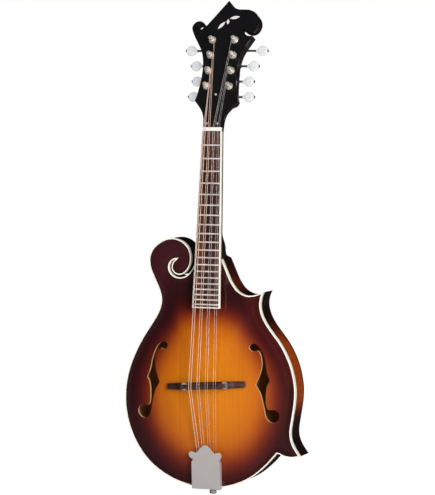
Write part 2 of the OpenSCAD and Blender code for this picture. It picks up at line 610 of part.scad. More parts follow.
// (x from the post line, z), bass plate mirrored
plate_pts = [[-7.4,42],[-5.5,40],[6,40],[7.8,42],[7.8,144],[6,146.5],[-5.5,146.5],[-7.4,144]];
module tuner_plate(side) color([0.66,0.66,0.66]) difference() {
  union() {
    head_slab([for (p=side>0 ? plate_pts : reversed(plate_pts)) [side*(post_x+p[0]), p[1]]],
      plate_out, -head_t-gap);
    // lugs that carry the shafts
    for (row=[0:3]) for (x=[-5.7,5.7])
      on_worm_axis(side,row,x) translate([-1.05,-2.9,-2.4]) cube([2.1,5.8,5.9]);
  }
  for (row=[0:3]) {
    on_head(side*post_x,post_z[row],-25) cylinder(r=post_hole_r, h=15);
    on_worm_axis(side,row) rotate([0,90,0]) translate([0,0,-12]) cylinder(r=1.56, h=24);
  }
  for (z=plate_screw_z) on_head(side*post_x,z,-25) cylinder(r=0.8, h=15, $fn=16);
}
module tuner_plate_bass() tuner_plate(-1);
module tuner_plate_treble() tuner_plate(1);
module tuner_plate_screws() color([0.7,0.7,0.7]) at_plate_screws() difference() {
  union() {
    translate([0,0,-head_t-1.82]) cylinder(r1=1.0, r2=1.5, h=0.58, $fn=24);
    translate([0,0,-head_t-1.4]) cylinder(r=0.6, h=7.4, $fn=16);
  }
  translate([-1.2,-0.16,-head_t-2.2]) cube([2.4,0.32,0.7]);
}
module bushings() color([0.82,0.82,0.8]) at_posts() difference() {
  union() {
    translate([0,0,-7.9]) cylinder(r=4.0, h=8, $fn=48);
    translate([0,0,0.02]) cylinder(r1=5.5, r2=4.9, h=0.9, $fn=48);
  }
  translate([0,0,-9]) cylinder(r=post_hole_r, h=12, $fn=48);
}

// worm: right-hand helix sampled on a grid round the shaft
worm_crest = 3.0;
worm_root = 1.7;
worm_half = 4.1;
worm_sides = 20;
worm_bands = 24;
function worm_r(x, a) =
  let (turns = x/worm_pitch - a/360, part = turns-floor(turns),
    dist = min(part,1-part)*worm_pitch)
  dist < 0.28 ? worm_crest
  : dist < 0.66 ? worm_crest - (worm_crest-worm_root)*(dist-0.28)/0.38
  : worm_root;
module worm() {
  points = [for (j=[0:worm_bands]) for (i=[0:worm_sides-1])
    let (x = -worm_half+2*worm_half*j/worm_bands, a = 360*i/worm_sides,
      r = (j==0 || j==worm_bands) ? worm_root : worm_r(x,a))
    [x, r*cos(a), r*sin(a)]];
  polyhedron(points, loft_faces(worm_sides, worm_bands));
}
// the bass side turns the shaft end for end but keeps the thread hand
module shaft(side, row) color([0.7,0.7,0.7]) on_worm_axis(side,row) {
  reach = button_x[row] + button_d/2;
  worm();
  rotate([0,side*90,0]) {
    translate([0,0,-7.6]) cylinder(r=1.5, h=7.6+reach+0.35);
    for (z=[-7.6,6.85]) translate([0,0,z]) cylinder(r=2.2, h=0.75);
    translate([0,0,reach+0.12]) cylinder(r1=2.2, r2=1.6, h=0.8);
  }
}
button_half_t = 3.8;
button_round = 0.8*button_half_t;
module button(side, row) color([0.93,0.93,0.92])
  on_worm_axis(side,row) translate([side*button_x[row],0,0]) difference() {
    union() {
      rotate_extrude($fn=48) polygon(concat([[0,-button_half_t]],
        [for (k=[0:8]) let (a = -90+180*k/8)
          [button_d/2-button_round+button_round*cos(a), button_half_t*sin(a)]],
        [[0,button_half_t]]));
      rotate([0,-side*90,0]) translate([0,0,button_d/2-1.6]) cylinder(r1=3.2, r2=2.3, h=3.4);
    }
    rotate([0,90,0]) translate([0,0,-14]) cylinder(r=1.52, h=28);
  }

// one gear tooth: radius, angle from its middle
tooth = [[5.8,-6.6],[7.1,-3.0],[7.1,3.0],[5.8,6.6]];
gear_pts = [for (k=[0:gear_teeth-1]) for (p=tooth)
  let (a = 270 + (k+0.5)*360/gear_teeth + p[1]) p[0]*[cos(a), sin(a)]];
// first string winding above the face
function wind_out(row) = row == 1 ? 4.3 : 3.0;
module post(side, row) color([0.72,0.70,0.66]) on_head(side*post_x,post_z[row]) {
  string_r = radii[side<0 ? row : 7-row];
  difference() {
    union() {
      translate([0,0,gear_low-0.4]) cylinder(r=post_r, h=10-gear_low);
      translate([0,0,9.6]) cylinder(r1=post_r, r2=2.4, h=0.6);
      translate([0,0,gear_high-0.01]) cylinder(r=4.2, h=plate_out-0.04-gear_high);
      translate([0,0,gear_low]) linear_extrude(height=gear_t) polygon(gear_pts);
    }
    translate([0,0,8.0]) rotate([90,0,0]) translate([0,0,-5]) cylinder(r=0.75, h=10, $fn=20);
    translate([-4,-0.3,gear_low-1]) cube([8,0.6,1.0]);
  }
  for (k=[0:2]) translate([0,0,wind_out(row)+k*(2*string_r+0.02)]) rotate_extrude($fn=32)
    translate([post_r+string_r*0.85,0]) circle(r=string_r, $fn=12);
}
module shaft_b1() shaft(-1,0);
module shaft_b2() shaft(-1,1);
module shaft_b3() shaft(-1,2);
module shaft_b4() shaft(-1,3);
module shaft_t1() shaft(1,0);
module shaft_t2() shaft(1,1);
module shaft_t3() shaft(1,2);
module shaft_t4() shaft(1,3);
module button_b1() button(-1,0);
module button_b2() button(-1,1);
module button_b3() button(-1,2);
module button_b4() button(-1,3);
module button_t1() button(1,0);
module button_t2() button(1,1);
module button_t3() button(1,2);
module button_t4() button(1,3);
module post_b1() post(-1,0);
module post_b2() post(-1,1);
module post_b3() post(-1,2);
module post_b4() post(-1,3);
module post_t1() post(1,0);
module post_t2() post(1,1);
module post_t3() post(1,2);
module post_t4() post(1,3);

// ---------- strings ----------
// points of the neck, headstock and deck frames in the main frame
function turn_x(p, a) = [p[0], p[1]*cos(a)-p[2]*sin(a), p[1]*sin(a)+p[2]*cos(a)];
function neck_point(p) = turn_x(p,-tilt) + neck_origin;
function head_point(x, z, out) = neck_point(turn_x([x,-out,z],-head_rel) + head_origin);
function deck_point(x, z, out) = turn_x([x,-out,z],deck_tilt) + deck_origin;
// round tube along a path, mitred at each bend
tube_sides = 10;
module tube(path, r) {
  last = len(path)-1;
  points = [for (i=[0:last])
    let (along = unit(path[min(i+1,last)]-path[max(i-1,0)]),
      across = unit(cross(along,[0,-1,0.001])), up = cross(along,across),
      mitre = i==0 || i==last ? 1
        : 1/max(0.5, sqrt((1+unit(path[i]-path[i-1])*unit(path[i+1]-path[i]))/2)))
    for (k=[0:tube_sides-1]) let (a = 360*k/tube_sides)
      path[i] + r*(cos(a)*across*mitre + sin(a)*up)];
  polyhedron(points, loft_faces(tube_sides, last));
}
loop_r = 1.35;
module string(i) {
  r = radii[i];
  side = i<4 ? -1 : 1;
  row = i<4 ? i : 7-i;
  // loop end round its hook
  loop = [for (k=[0:10]) let (a = 12+k*27)
    deck_point(hook_x[i]+loop_r*sin(a), hook_z+0.3+loop_r*cos(a), hook_out)];
  tube(concat([
    head_point(side*(post_x-post_r-2.85*r-0.06), post_z[row], wind_out(row)+r),
    neck_point([nut_x(i), -string_rest-r-0.02, nut_z+5.1]),
    neck_point([nut_x(i), -string_rest-r, nut_z+0.4]),
    [saddle_x(i), saddle_y-r+0.25,
      saddle_z + saddle_x(i)*sin(bridge_slant) + crown_z[course(i)]],
    deck_point(hook_x[i]+0.1, hook_z+5, hook_out+0.1)], loop), r);
}
module strings_wound() color([0.72,0.45,0.25]) for (i=[0:3]) string(i);
module strings_plain() color([0.8,0.8,0.8]) for (i=[4:7]) string(i);

top_plate();
back_plate();
ribs();
head_block();
tail_block();
point_blocks();
linings();
tone_bars();
body_binding();
neck();
headstock_veneer();
headstock_inlay();
truss_rod();
truss_cover();
truss_cover_screws();
fingerboard();
board_binding();
frets();
nut();
bridge_base();
bridge_posts();
saddle();
thumbwheel_bass();
thumbwheel_treble();
tailpiece_base();
tailpiece_screws();
tailpiece_cover();
strap_button();
tuner_plate_bass();
tuner_plate_treble();
tuner_plate_screws();
bushings();
strings_wound();
strings_plain();
shaft_b1();
shaft_b2();
shaft_b3();
shaft_b4();
shaft_t1();
shaft_t2();
shaft_t3();
shaft_t4();
button_b1();
button_b2();
button_b3();
button_b4();
button_t1();
button_t2();
button_t3();
button_t4();
post_b1();
post_b2();
post_b3();
post_b4();
post_t1();
post_t2();
post_t3();
post_t4();
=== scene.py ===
# A carved, scroll-bodied mandolin with eight strings in four pairs, standing upright.
# x runs across it (bass side -x, treble side +x), y through it (front -y, back +y) and
# z up the neck. Instrument sizes are millimetres; floor, lights and camera are metres.
# The body plates, ribs, binding and strings are built here; the rest softens the CAD pieces.
import bpy
import bmesh
import json
import math
import numpy as np
from mathutils import Matrix, Vector
from mathutils.geometry import delaunay_2d_cdt

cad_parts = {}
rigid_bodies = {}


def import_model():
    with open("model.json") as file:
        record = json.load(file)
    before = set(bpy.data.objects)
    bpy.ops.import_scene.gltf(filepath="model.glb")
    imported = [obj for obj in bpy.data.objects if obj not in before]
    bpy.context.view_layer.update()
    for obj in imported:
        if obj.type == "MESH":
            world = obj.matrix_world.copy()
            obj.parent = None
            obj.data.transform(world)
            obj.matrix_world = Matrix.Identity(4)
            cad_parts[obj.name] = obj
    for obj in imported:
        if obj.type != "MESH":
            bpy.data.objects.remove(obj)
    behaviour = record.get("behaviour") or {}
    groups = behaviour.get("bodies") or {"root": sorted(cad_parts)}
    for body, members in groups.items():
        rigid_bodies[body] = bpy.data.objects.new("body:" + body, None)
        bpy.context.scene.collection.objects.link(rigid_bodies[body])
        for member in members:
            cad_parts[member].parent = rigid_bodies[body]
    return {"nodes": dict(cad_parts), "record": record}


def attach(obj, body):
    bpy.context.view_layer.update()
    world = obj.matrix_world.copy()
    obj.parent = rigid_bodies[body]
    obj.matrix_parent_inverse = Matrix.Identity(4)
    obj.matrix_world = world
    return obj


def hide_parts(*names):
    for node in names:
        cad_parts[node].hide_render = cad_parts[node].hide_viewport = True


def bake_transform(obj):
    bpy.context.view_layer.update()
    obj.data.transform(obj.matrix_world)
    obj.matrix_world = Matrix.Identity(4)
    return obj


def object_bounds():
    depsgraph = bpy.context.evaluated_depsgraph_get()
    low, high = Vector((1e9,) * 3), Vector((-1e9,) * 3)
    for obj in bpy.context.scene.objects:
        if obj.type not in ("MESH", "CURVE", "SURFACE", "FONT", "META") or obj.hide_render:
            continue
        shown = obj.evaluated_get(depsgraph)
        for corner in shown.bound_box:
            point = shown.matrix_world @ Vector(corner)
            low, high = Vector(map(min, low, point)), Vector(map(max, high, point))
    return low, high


for old in list(bpy.data.objects):
    bpy.data.objects.remove(old)
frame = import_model()
NODES = frame["nodes"]
CAD_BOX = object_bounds()
BODY_OF = {n: body for body, ns in frame["record"]["behaviour"]["bodies"].items() for n in ns}
scene = bpy.context.scene
MM = 0.001

# ------------------------------------------------------------------ dimensions, mm
BODY_DEPTH = 41.4
FRONT_Y, BACK_Y = -BODY_DEPTH / 2, BODY_DEPTH / 2
PLATE_T = 4.2
TOP_ARCH, BACK_ARCH = 12.5, 11.0
RIB_T = 2.4
BINDING_W, BINDING_DEPTH = 1.6, 6.7
GRID = 2.3     # spacing of the points inside a plate
OUTLINE_STEP = 1.3

NECK_TILT = math.radians(4.442)
HEAD_TILT = math.radians(19.32) - NECK_TILT   # headstock against the neck
BOARD_Y = FRONT_Y - 13.92
FRET_15_Z = 305.0                     # the neck's own origin is at the 15th fret
SCALE_LENGTH = 352.4
NUT_ALONG = SCALE_LENGTH * (1 - 2 ** (-15 / 12))
HEAD_ORIGIN = np.array([0, 3, NUT_ALONG + 5])
POST_FIRST, POST_PITCH = 61.3, 23.0   # tuner posts, along the headstock
POST_X, POST_R = 33.25 / 2, 3.0

NUT_TOP = 1.2
NUT_SPREAD, NUT_HALF_PAIR = 20.2, 1.1
SADDLE_SPREAD, SADDLE_HALF_PAIR = 36.4, 1.7
SADDLE_Y, SADDLE_Z = FRONT_Y - 29.3, 154.5
SADDLE_SLANT = math.radians(3.9)
SADDLE_NOTCH = 0.25
PAIR_Z = [-1.2, 0.3, -1.0, 0.9]       # each pair's break point against the saddle line
STRING_R = [0.51, 0.51, 0.33, 0.33, 0.19, 0.19, 0.14, 0.14]
POST_ROW = [0, 1, 2, 3, 3, 2, 1, 0]
HOOK_X = [-13.2, -9.4, -5.8, -2.4, 2.4, 5.8, 9.4, 13.2]
HOOK_ALONG, HOOK_OUT = 33.0, 2.3
HOOK_LOOP_R = 1.35
TAIL_TILT = math.radians(5)
TAIL_ORIGIN = np.array([0, -20.95, 9])

# Body outline seen from the front, as runs of [x, z] points that join end to end.
NECK_EDGE_Z = 331
NECK_EDGE = [[17, NECK_EDGE_Z], [-20.5, NECK_EDGE_Z]]
SLOT_END = [[-51.3, 328.8]]
SCROLL_SLOT = [
    [-20.5,331],[-21.6,325.6],[-24.4,319.6],[-27.6,314],[-31.6,309.2],[-36,305.6],[-41,303.9],
    [-46.3,303.4],[-51.5,304.4],[-56.5,307.4],[-59.9,312],[-61.2,317.5],[-60,322.2],
    [-57.6,325.8],[-54.2,328.2]]
SCROLL_CURL = [
    [-51.5,328.4],[-54.2,326.2],[-56.4,322.4],[-57.3,317.4],[-56.3,313.5],[-53.5,309.8],
    [-49.8,307.6],[-45.3,307],[-40.6,308],[-35.9,311.4],[-31.7,317],[-29.3,323.4],[-28.5,330.2],
    [-29.3,337.6],[-32.3,345.2],[-38,351.6],[-45.2,356],[-53.8,358.2],[-62.4,357.8],[-71,354.8],
    [-79.6,349.2],[-86.3,342],[-90.1,334],[-91,326],[-89.6,316],[-85.2,305]]
BASS_SIDE = [
    [-79.4,293],[-74.6,281.5],[-72.8,270],[-74.9,259.5],[-80.2,248],[-88,235.8],[-96.4,223],
    [-104.2,210],[-111.2,196.2],[-117.4,181.4],[-122.2,166],[-125.4,150],[-126.5,134],
    [-125.9,118],[-123,101.5],[-117.6,84.5],[-109.4,67.4],[-98.2,50.8],[-84.2,36.6],
    [-67.2,24.9],[-48,15.9],[-26,10.4],[0,8.9],[23,10.2],[45,16.8],[64.5,27],[81.6,41],[93,53.2]]
LOWER_POINT = [[100.6,62.2],[104.6,61.6],[109.4,59.2],[115.6,57.8],[124,57.6]]
TREBLE_SIDE = [
    [134.2,59.8],[128,68.4],[123.6,76],[121,84],[120.2,93],[121.3,103],[123.2,115],[125.2,128],
    [126.4,141],[126.3,154],[124,169],[119.6,185],[113,200.3],[104.4,215],[94.4,228],
    [84.6,240.8],[78,252.4],[75,262],[74.2,269.6],[75,276.2],[76.5,281.6]]
CUTAWAY = [
    [78.8,286.6],[73,284.4],[66,282.1],[59,280.9],[52.4,281.4],[46,284],[39.8,288.3],[34.6,294.6],
    [30,302],[26.2,310.4],[23,317.6],[20,324.2]]
# Closed pear-shaped edge of the arching, [x, z].
PEAR_POINTS = [
    [0,21],[29,23.5],[56,33.5],[78,51],[94,72],[104.5,94],[110.5,118],[112,143],[107.5,168],
    [98,191],[85,212],[71.5,233],[62.5,252],[57.5,264],[49.5,272.5],[38.5,279.2],[25,284],
    [9,286.5],[-9,286.5],[-26,285],[-42,282.5],[-54,276.5],[-60,266],[-63,252],[-72,233],
    [-85.5,212],[-98.5,191],[-108,168],[-112.5,143],[-111,118],[-105,94],[-94.5,72],[-78.5,51],
    [-56.5,33.5],[-29.5,23.5]]
PEAR_MID_Z = 150
# Closed edge of the treble f-hole, [x, z]; the bass one is its mirror, slightly shifted.
F_HOLE_POINTS = [
    [59,209.2],[61,213],[65.2,214.7],[70.4,213],[75,208.4],[78.8,202],[81.6,194.6],[83.4,187],
    [84.8,179.6],[86.6,172.4],[89.6,165.2],[89.6,162.6],[86.8,157.6],[85.2,150.6],[84.6,142],
    [84.8,133],[86,126.6],[88.8,123],[94.8,123.4],[100.6,121.4],[104,116.8],[102.8,110.4],
    [97,105.4],[90.4,106.2],[86,110.4],[83.6,117],[82,125],[80.4,133],[78.6,140],[76.2,146.8],
    [73,152.4],[70.2,156.6],[70.6,159.4],[73,165],[75.4,171.6],[77.2,178.6],[78,186],
    [77.4,192.6],[75.8,198.6],[73,203.8],[69.8,205],[65.4,203.6],[61.2,205.2]]
BASS_HOLE_SHIFT = 2.2, 2
# Treble half of the back plate's tab under the neck heel, [x, z], ending on the centre line.
HEEL_TAB = [[16.9,331],[14.4,332.2],[11.8,333.3],[10,335],[9.3,337.6],[8.6,340.6],[6.9,343.4],
            [4.1,345.2],[0,345.8]]


# ------------------------------------------------------------------ curves and loops
def catmull_rom(a, b, c, d, t):
    return 0.5 * (2 * b + (c - a) * t + (2 * a - 5 * b + 4 * c - d) * t * t
                  + (3 * b - a - 3 * c + d) * t ** 3)


def spline(points, steps=12, closed=False):
    points = [np.array(p, float) for p in points]
    count = len(points)

    def at(i):
        if closed:
            return points[i % count]
        if i < 0:
            return 2 * points[0] - points[1]
        if i >= count:
            return 2 * points[-1] - points[-2]
        return points[i]

    out = [catmull_rom(at(i - 1), at(i), at(i + 1), at(i + 2), k / steps)
           for i in range(count if closed else count - 1) for k in range(steps)]
    if not closed:
        out.append(points[-1])
    return np.array(out)


def resample(points, step, closed=False):
    """Even spacing, as near to step as divides the length."""
    path = np.vstack([points, points[:1]]) if closed else points
    along = np.r_[0, np.cumsum(np.hypot(*np.diff(path, axis=0).T))]
    count = max(2, int(round(along[-1] / step)))
    t = np.linspace(0, along[-1], count + 1)
    even = np.stack([np.interp(t, along, path[:, k]) for k in range(2)], 1)
    return even[:-1] if closed else even


def edge_distance(points, loop):
    """Distance of each point to the closed loop."""
    side = np.roll(loop, -1, 0) - loop
    length_sq = (side ** 2).sum(1) + 1e-12
    nearest = np.full(len(points), 1e9)
    for i in range(0, len(points), 400):    # in batches, to bound the memory
        batch = points[i:i + 400]
        t = np.clip(((batch[:, None] - loop) * side).sum(2) / length_sq, 0, 1)
        foot = loop + t[..., None] * side
        nearest[i:i + 400] = np.sqrt(((batch[:, None] - foot) ** 2).sum(2)).min(1)
    return nearest


def inset(loop, distance):
    before = loop - np.roll(loop, 1, 0)
    after = np.roll(loop, -1, 0) - loop
    u = before / np.linalg.norm(before, axis=1)[:, None]
    v = after / np.linalg.norm(after, axis=1)[:, None]
    n1 = np.stack([-u[:, 1], u[:, 0]], 1)
    n2 = np.stack([-v[:, 1], v[:, 0]], 1)
    moved = loop + distance * (n1 + n2) / np.maximum(1 + (n1 * n2).sum(1), 0.12)[:, None]
    # points that crossed over at tight corners end up too near the loop
    return moved[edge_distance(moved, loop) > abs(distance) - 0.04]


def inside(points, loop):
    x, y = points[:, 0], points[:, 1]
    result = np.zeros(len(points), bool)
    for (x1, y1), (x2, y2) in zip(loop, np.roll(loop, -1, 0)):
        if y1 != y2:
            result ^= ((y1 > y) != (y2 > y)) & (x < (x2 - x1) * (y - y1) / (y2 - y1) + x1)
    return result


def smooth(u):
    """Smooth step from 0 to 1."""
    u = np.clip(u, 0, 1)
    return u * u * (3 - 2 * u)


PEAR = spline(PEAR_POINTS, 16, closed=True)
pear_angle = np.arctan2(PEAR[:, 1] - PEAR_MID_Z, PEAR[:, 0])
pear_radius = np.hypot(PEAR[:, 0], PEAR[:, 1] - PEAR_MID_Z)
order = np.argsort(pear_angle)
pear_angle, pear_radius = pear_angle[order], pear_radius[order]
pear_angle = np.r_[pear_angle - 2 * np.pi, pear_angle, pear_angle + 2 * np.pi]
pear_radius = np.r_[pear_radius, pear_radius, pear_radius]


def arch_share(points):
    """1 at the middle of the arching, 0 on its pear-shaped edge, negative outside."""
    angle = np.arctan2(points[:, 1] - PEAR_MID_Z, points[:, 0])
    radius = np.hypot(points[:, 0], points[:, 1] - PEAR_MID_Z)
    return 1 - radius / np.interp(angle, pear_angle, pear_radius)


def rise(share):
    """Height of the arching as a part of its full height."""
    return np.sin(np.pi / 2 * np.clip(share, 0, 1) ** 0.78) ** 2


def inner_rise(points):
    """The same for a plate's inner face, whose arching is slightly smaller."""
    share = arch_share(points)
    return rise(share / 0.975) * (share > 0)


# ------------------------------------------------------------------ local frames
def turn_x(p, angle):
    p = np.asarray(p, float)
    cos, sin = math.cos(angle), math.sin(angle)
    return np.stack([p[..., 0], p[..., 1] * cos - p[..., 2] * sin,
                     p[..., 1] * sin + p[..., 2] * cos], -1)


def neck_point(p):
    return turn_x(p, -NECK_TILT) + np.array([0, BOARD_Y, FRET_15_Z])


def head_point(x, along, out):
    return neck_point(turn_x(np.array([x, -out, along], float), -HEAD_TILT) + HEAD_ORIGIN)


def to_head(p):
    """A point of the model as x, along and out of the headstock."""
    q = turn_x(np.asarray(p, float) - np.array([0, BOARD_Y, FRET_15_Z]), NECK_TILT)
    q = turn_x(q - HEAD_ORIGIN, HEAD_TILT)
    return np.array([q[0], q[2], -q[1]])


def tail_point(x, along, out):
    return turn_x(np.array([x, -out, along], float), TAIL_TILT) + TAIL_ORIGIN


def winding_start(row):
    """Height of the lowest string turn on a tuner post."""
    return 4.3 if row == 1 else 3.0


# ------------------------------------------------------------------ meshes
def new_object(name, node, verts, faces, materials, sharp, face_materials, attributes,
               rides=True):
    """Object from points in mm, with point attributes and one material index per face."""
    mesh = bpy.data.meshes.new(name)
    mesh.from_pydata([tuple(v) for v in verts * MM], [],
                     [tuple(int(i) for i in f) for f in faces])
    mesh.validate()
    for material in materials:
        mesh.materials.append(material)
    # validate() may drop a degenerate face, and the indices would no longer line up
    if len(mesh.polygons) == len(face_materials):
        mesh.polygons.foreach_set("material_index", np.array(face_materials, np.int32))
    for key, values in attributes.items():
        layer = mesh.attributes.new(key, "FLOAT", "POINT")
        layer.data.foreach_set("value", np.asarray(values, np.float32))
    mesh.polygons.foreach_set("use_smooth", np.ones(len(mesh.polygons), bool))
    mesh.set_sharp_from_angle(angle=math.radians(sharp))
    obj = bpy.data.objects.new(name, mesh)
    scene.collection.objects.link(obj)
    if rides:
        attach(obj, BODY_OF[node])
    bm = bmesh.new()
    bm.from_mesh(mesh)
    bmesh.ops.recalc_face_normals(bm, faces=bm.faces)
    bm.to_mesh(mesh)
    bm.free()
    return obj


def hex_grid(loop, holes, step):
    """Staggered points inside the loop, clear of its edge and of the holes."""
    low, high = loop.min(0), loop.max(0)
    rows = []
    y = low[1]
    while y < high[1]:
        xs = np.arange(low[0] + (0.5 * step if len(rows) % 2 else 0), high[0], step)
        rows.append(np.stack([xs, np.full(len(xs), y)], 1))
        y += step * 0.866
    grid = np.vstack(rows)
    grid = grid[inside(grid, loop)]
    for hole in holes:
        grid = grid[~inside(grid, hole)]
    for edge in [loop] + holes:
        grid = grid[edge_distance(grid, edge) > step * 0.55]
    return grid


def triangulate(loop, holes, interior):
    points = [Vector((float(x), float(y))) for part in [loop] + holes + [interior]
              for x, y in part]
    edges, first = [], 0
    for ring in [loop] + holes:
        n = len(ring)
        edges += [(first + i, first + (i + 1) % n) for i in range(n)]
        first += n
    found, _, faces, _, _, _ = delaunay_2d_cdt(points, edges, [], 0, 1e-6)
    plan = np.array([[v.x, v.y] for v in found])
    tris = np.array([f for f in faces if len(f) == 3])
    middle = plan[tris].mean(1)
    keep = inside(middle, loop)
    for hole in holes:
        keep &= ~inside(middle, hole)
    tris = tris[keep]
    a, b, c = plan[tris[:, 0]], plan[tris[:, 1]], plan[tris[:, 2]]
    ab, ac = b - a, c - a
    clockwise = (ab[:, 0] * ac[:, 1] - ab[:, 1] * ac[:, 0]) < 0
    tris[clockwise] = tris[clockwise][:, ::-1]
    return plan, tris


def plate(node, loop, holes, grid, front, back, materials, burst=None, sharp=32.0):
    """Closed plate over a plan in x and z; front and back give y at plan points.
    The first material covers the front face, the last one the back face and the walls."""
    interior = hex_grid(loop, holes, grid) if grid else np.zeros((0, 2))
    plan, tris = triangulate(loop, holes, interior)
    n = len(plan)
    verts = np.vstack([np.stack([plan[:, 0], y, plan[:, 1]], 1)
                       for y in (front(plan), back(plan))])
    faces = [tuple(f) for f in tris] + [tuple(f[::-1] + n) for f in tris]
    # an edge of one triangle only is a boundary, and gets a wall
    edges = np.vstack([tris[:, [0, 1]], tris[:, [1, 2]], tris[:, [2, 0]]])
    known = {tuple(e) for e in edges}
    faces += [(b, a, a + n, b + n) for a, b in edges if (b, a) not in known]
    face_materials = [0] * len(tris) + [len(materials) - 1] * (len(faces) - len(tris))
    attributes = {"burst": np.tile(burst(plan), 2)} if burst else {}
    return new_object(node + "_v", node, verts, faces, materials, sharp, face_materials,
                      attributes)


# ------------------------------------------------------------------ material helpers
def srgb(colour):
    """Linear RGBA from sRGB values of 0 to 255."""
    return tuple(x / 12.92 if x <= 0.04045 else ((x + 0.055) / 1.055) ** 2.4
                 for x in [v / 255 for v in colour]) + (1.0,)


class Nodes:
    """Short calls for building one node tree."""

    def __init__(self, owner):
        owner.use_nodes = True
        self.tree = owner.node_tree
        self.place = self.node("TexCoord")

    def feed(self, socket, value):
        """Link a socket, or set a plain value."""
        if isinstance(value, bpy.types.NodeSocket):
            self.tree.links.new(value, socket)
        else:
            socket.default_value = value

    def node(self, kind, inputs=(), **settings):
        node = self.tree.nodes.new("ShaderNode" + kind)
        for key, value in settings.items():
            setattr(node, key, value)
        for key, value in dict(inputs).items():
            self.feed(node.inputs[key], value)
        return node

    def math(self, operation, *values):
        return self.node("Math", dict(enumerate(values)), operation=operation).outputs[0]

    def weighted(self, *parts):
        """Sum of (value, weight) pairs."""
        total = None
        for value, weight in parts:
            part = self.math("MULTIPLY", value, weight)
            total = self.math("ADD", total, part) if total else part
        return total

    def remap(self, value, to, within=(0.0, 1.0)):
        return self.node("MapRange", {
            "From Min": within[0], "From Max": within[1],
            "To Min": to[0], "To Max": to[1], "Value": value}).outputs["Result"]

    def falloff(self, vector, x_to, x_within, y_to, y_within):
        """Product of one ramp across x and one through y."""
        axes = self.node("SeparateXYZ", {0: vector}).outputs
        return self.math("MULTIPLY", self.remap(axes["X"], to=x_to, within=x_within),
                         self.remap(axes["Y"], to=y_to, within=y_within))

    def by_ray(self, paths, ray, otherwise, seen):
        """One shader for a kind of ray, another for the rest."""
        return self.node("MixShader",
                         {0: paths.outputs[ray], 1: otherwise, 2: seen}).outputs[0]


class Material(Nodes):
    INPUTS = {"color": "Base Color", "rough": "Roughness", "metal": "Metallic",
              "coat": "Coat Weight", "coat_rough": "Coat Roughness",
              "spec": "Specular IOR Level"}

    def __init__(self, name):
        self.material = bpy.data.materials.new(name)
        super().__init__(self.material)
        self.principled = self.tree.nodes["Principled BSDF"]

    def coords(self, scale):
        """Object coordinates, scaled evenly or by axis."""
        scale = scale if isinstance(scale, tuple) else (scale,) * 3
        return self.node("Mapping", {"Scale": scale, "Vector": self.place.outputs["Object"]}
                         ).outputs["Vector"]

    def noise(self, scale, detail=3.0, rough=0.55, warp=0.0):
        return self.node("TexNoise", {
            "Scale": 1.0, "Detail": detail, "Roughness": rough, "Distortion": warp,
            "Vector": self.coords(scale)}).outputs["Fac"]

    def ramp(self, value, stops, interpolation="LINEAR"):
        """Stops are (position, sRGB bytes or linear RGBA)."""
        node = self.node("ValToRGB", {"Fac": value})
        node.color_ramp.interpolation = interpolation
        elements = node.color_ramp.elements
        while len(elements) > 1:
            elements.remove(elements[-1])
        for i, (position, colour) in enumerate(stops):
            stop = elements.new(position) if i else elements[0]
            stop.position = position
            stop.color = srgb(colour) if len(colour) == 3 else colour
        return node.outputs["Color"]

    def mix(self, share, a, b, mode="MIX"):
        return self.node("Mix", {0: share, 6: a, 7: b}, data_type="RGBA",
                         blend_type=mode).outputs[2]

    def shade(self, colour, value):
        return self.node("HueSaturation", {"Color": colour, "Value": value}).outputs["Color"]

    def attribute(self, name):
        return self.node("Attribute", attribute_name=name).outputs["Fac"]

    def bump(self, height, strength, distance, target="Normal"):
        node = self.node("Bump", {"Strength": strength, "Distance": distance,
                                  "Height": height})
        self.feed(self.principled.inputs[target], node.outputs["Normal"])

    def lacquer(self, coat, rough):
        """Clear gloss coat with a faint ripple and a few soft wipes."""
        ripple = self.noise(60, detail=2.0, rough=0.4)
        self.bump(ripple, strength=0.10, distance=0.0004, target="Coat Normal")
        wipes = self.noise((25, 90, 12), detail=5.0, rough=0.65, warp=0.6)
        self.finish(coat=coat, coat_rough=self.remap(
            wipes, to=(rough * 0.6, rough * 1.9), within=(0.3, 0.75)))

    def finish(self, **values):
        for key, value in values.items():
            self.feed(self.principled.inputs[self.INPUTS[key]], value)
        return self.material


# ------------------------------------------------------------------ materials
BURST_OUTER = 0.45    # arch share below zero at which the sunburst scale starts


def burst_scale(share):
    """Arch share as the burst attribute: 0 far outside the arching, 1 at its middle."""
    return (share + BURST_OUTER) / (1 + BURST_OUTER)


# (arch share, sRGB colour), from the dark edge to the amber middle; the two outermost stops are
# lighter and violet as painted sheen of the lacquer on the scroll and points
TOP_BURST_AND_SHEEN = [
    (-0.45, (60, 20, 26)), (-0.28, (52, 15, 19)), (-0.13, (40, 9, 12)), (-0.03, (54, 10, 12)),
    (0.05, (80, 17, 12)), (0.12, (108, 31, 11)), (0.19, (138, 54, 9)), (0.27, (169, 78, 7)),
    (0.36, (190, 97, 6)), (0.52, (203, 111, 6)), (0.8, (212, 122, 8))]
BACK_BURST = [
    (-0.45, (34, 12, 12)), (-0.05, (44, 14, 13)), (0.08, (74, 26, 16)), (0.2, (110, 48, 18)),
    (0.35, (150, 76, 22)), (0.6, (178, 98, 28)), (0.9, (190, 108, 32))]
# (burst attribute, sRGB colour)
RIB_BURST = [(0.0, (12, 4, 5)), (0.35, (44, 8, 5)), (0.6, (92, 25, 5)), (0.8, (128, 46, 5)),
             (1.0, (147, 59, 5))]


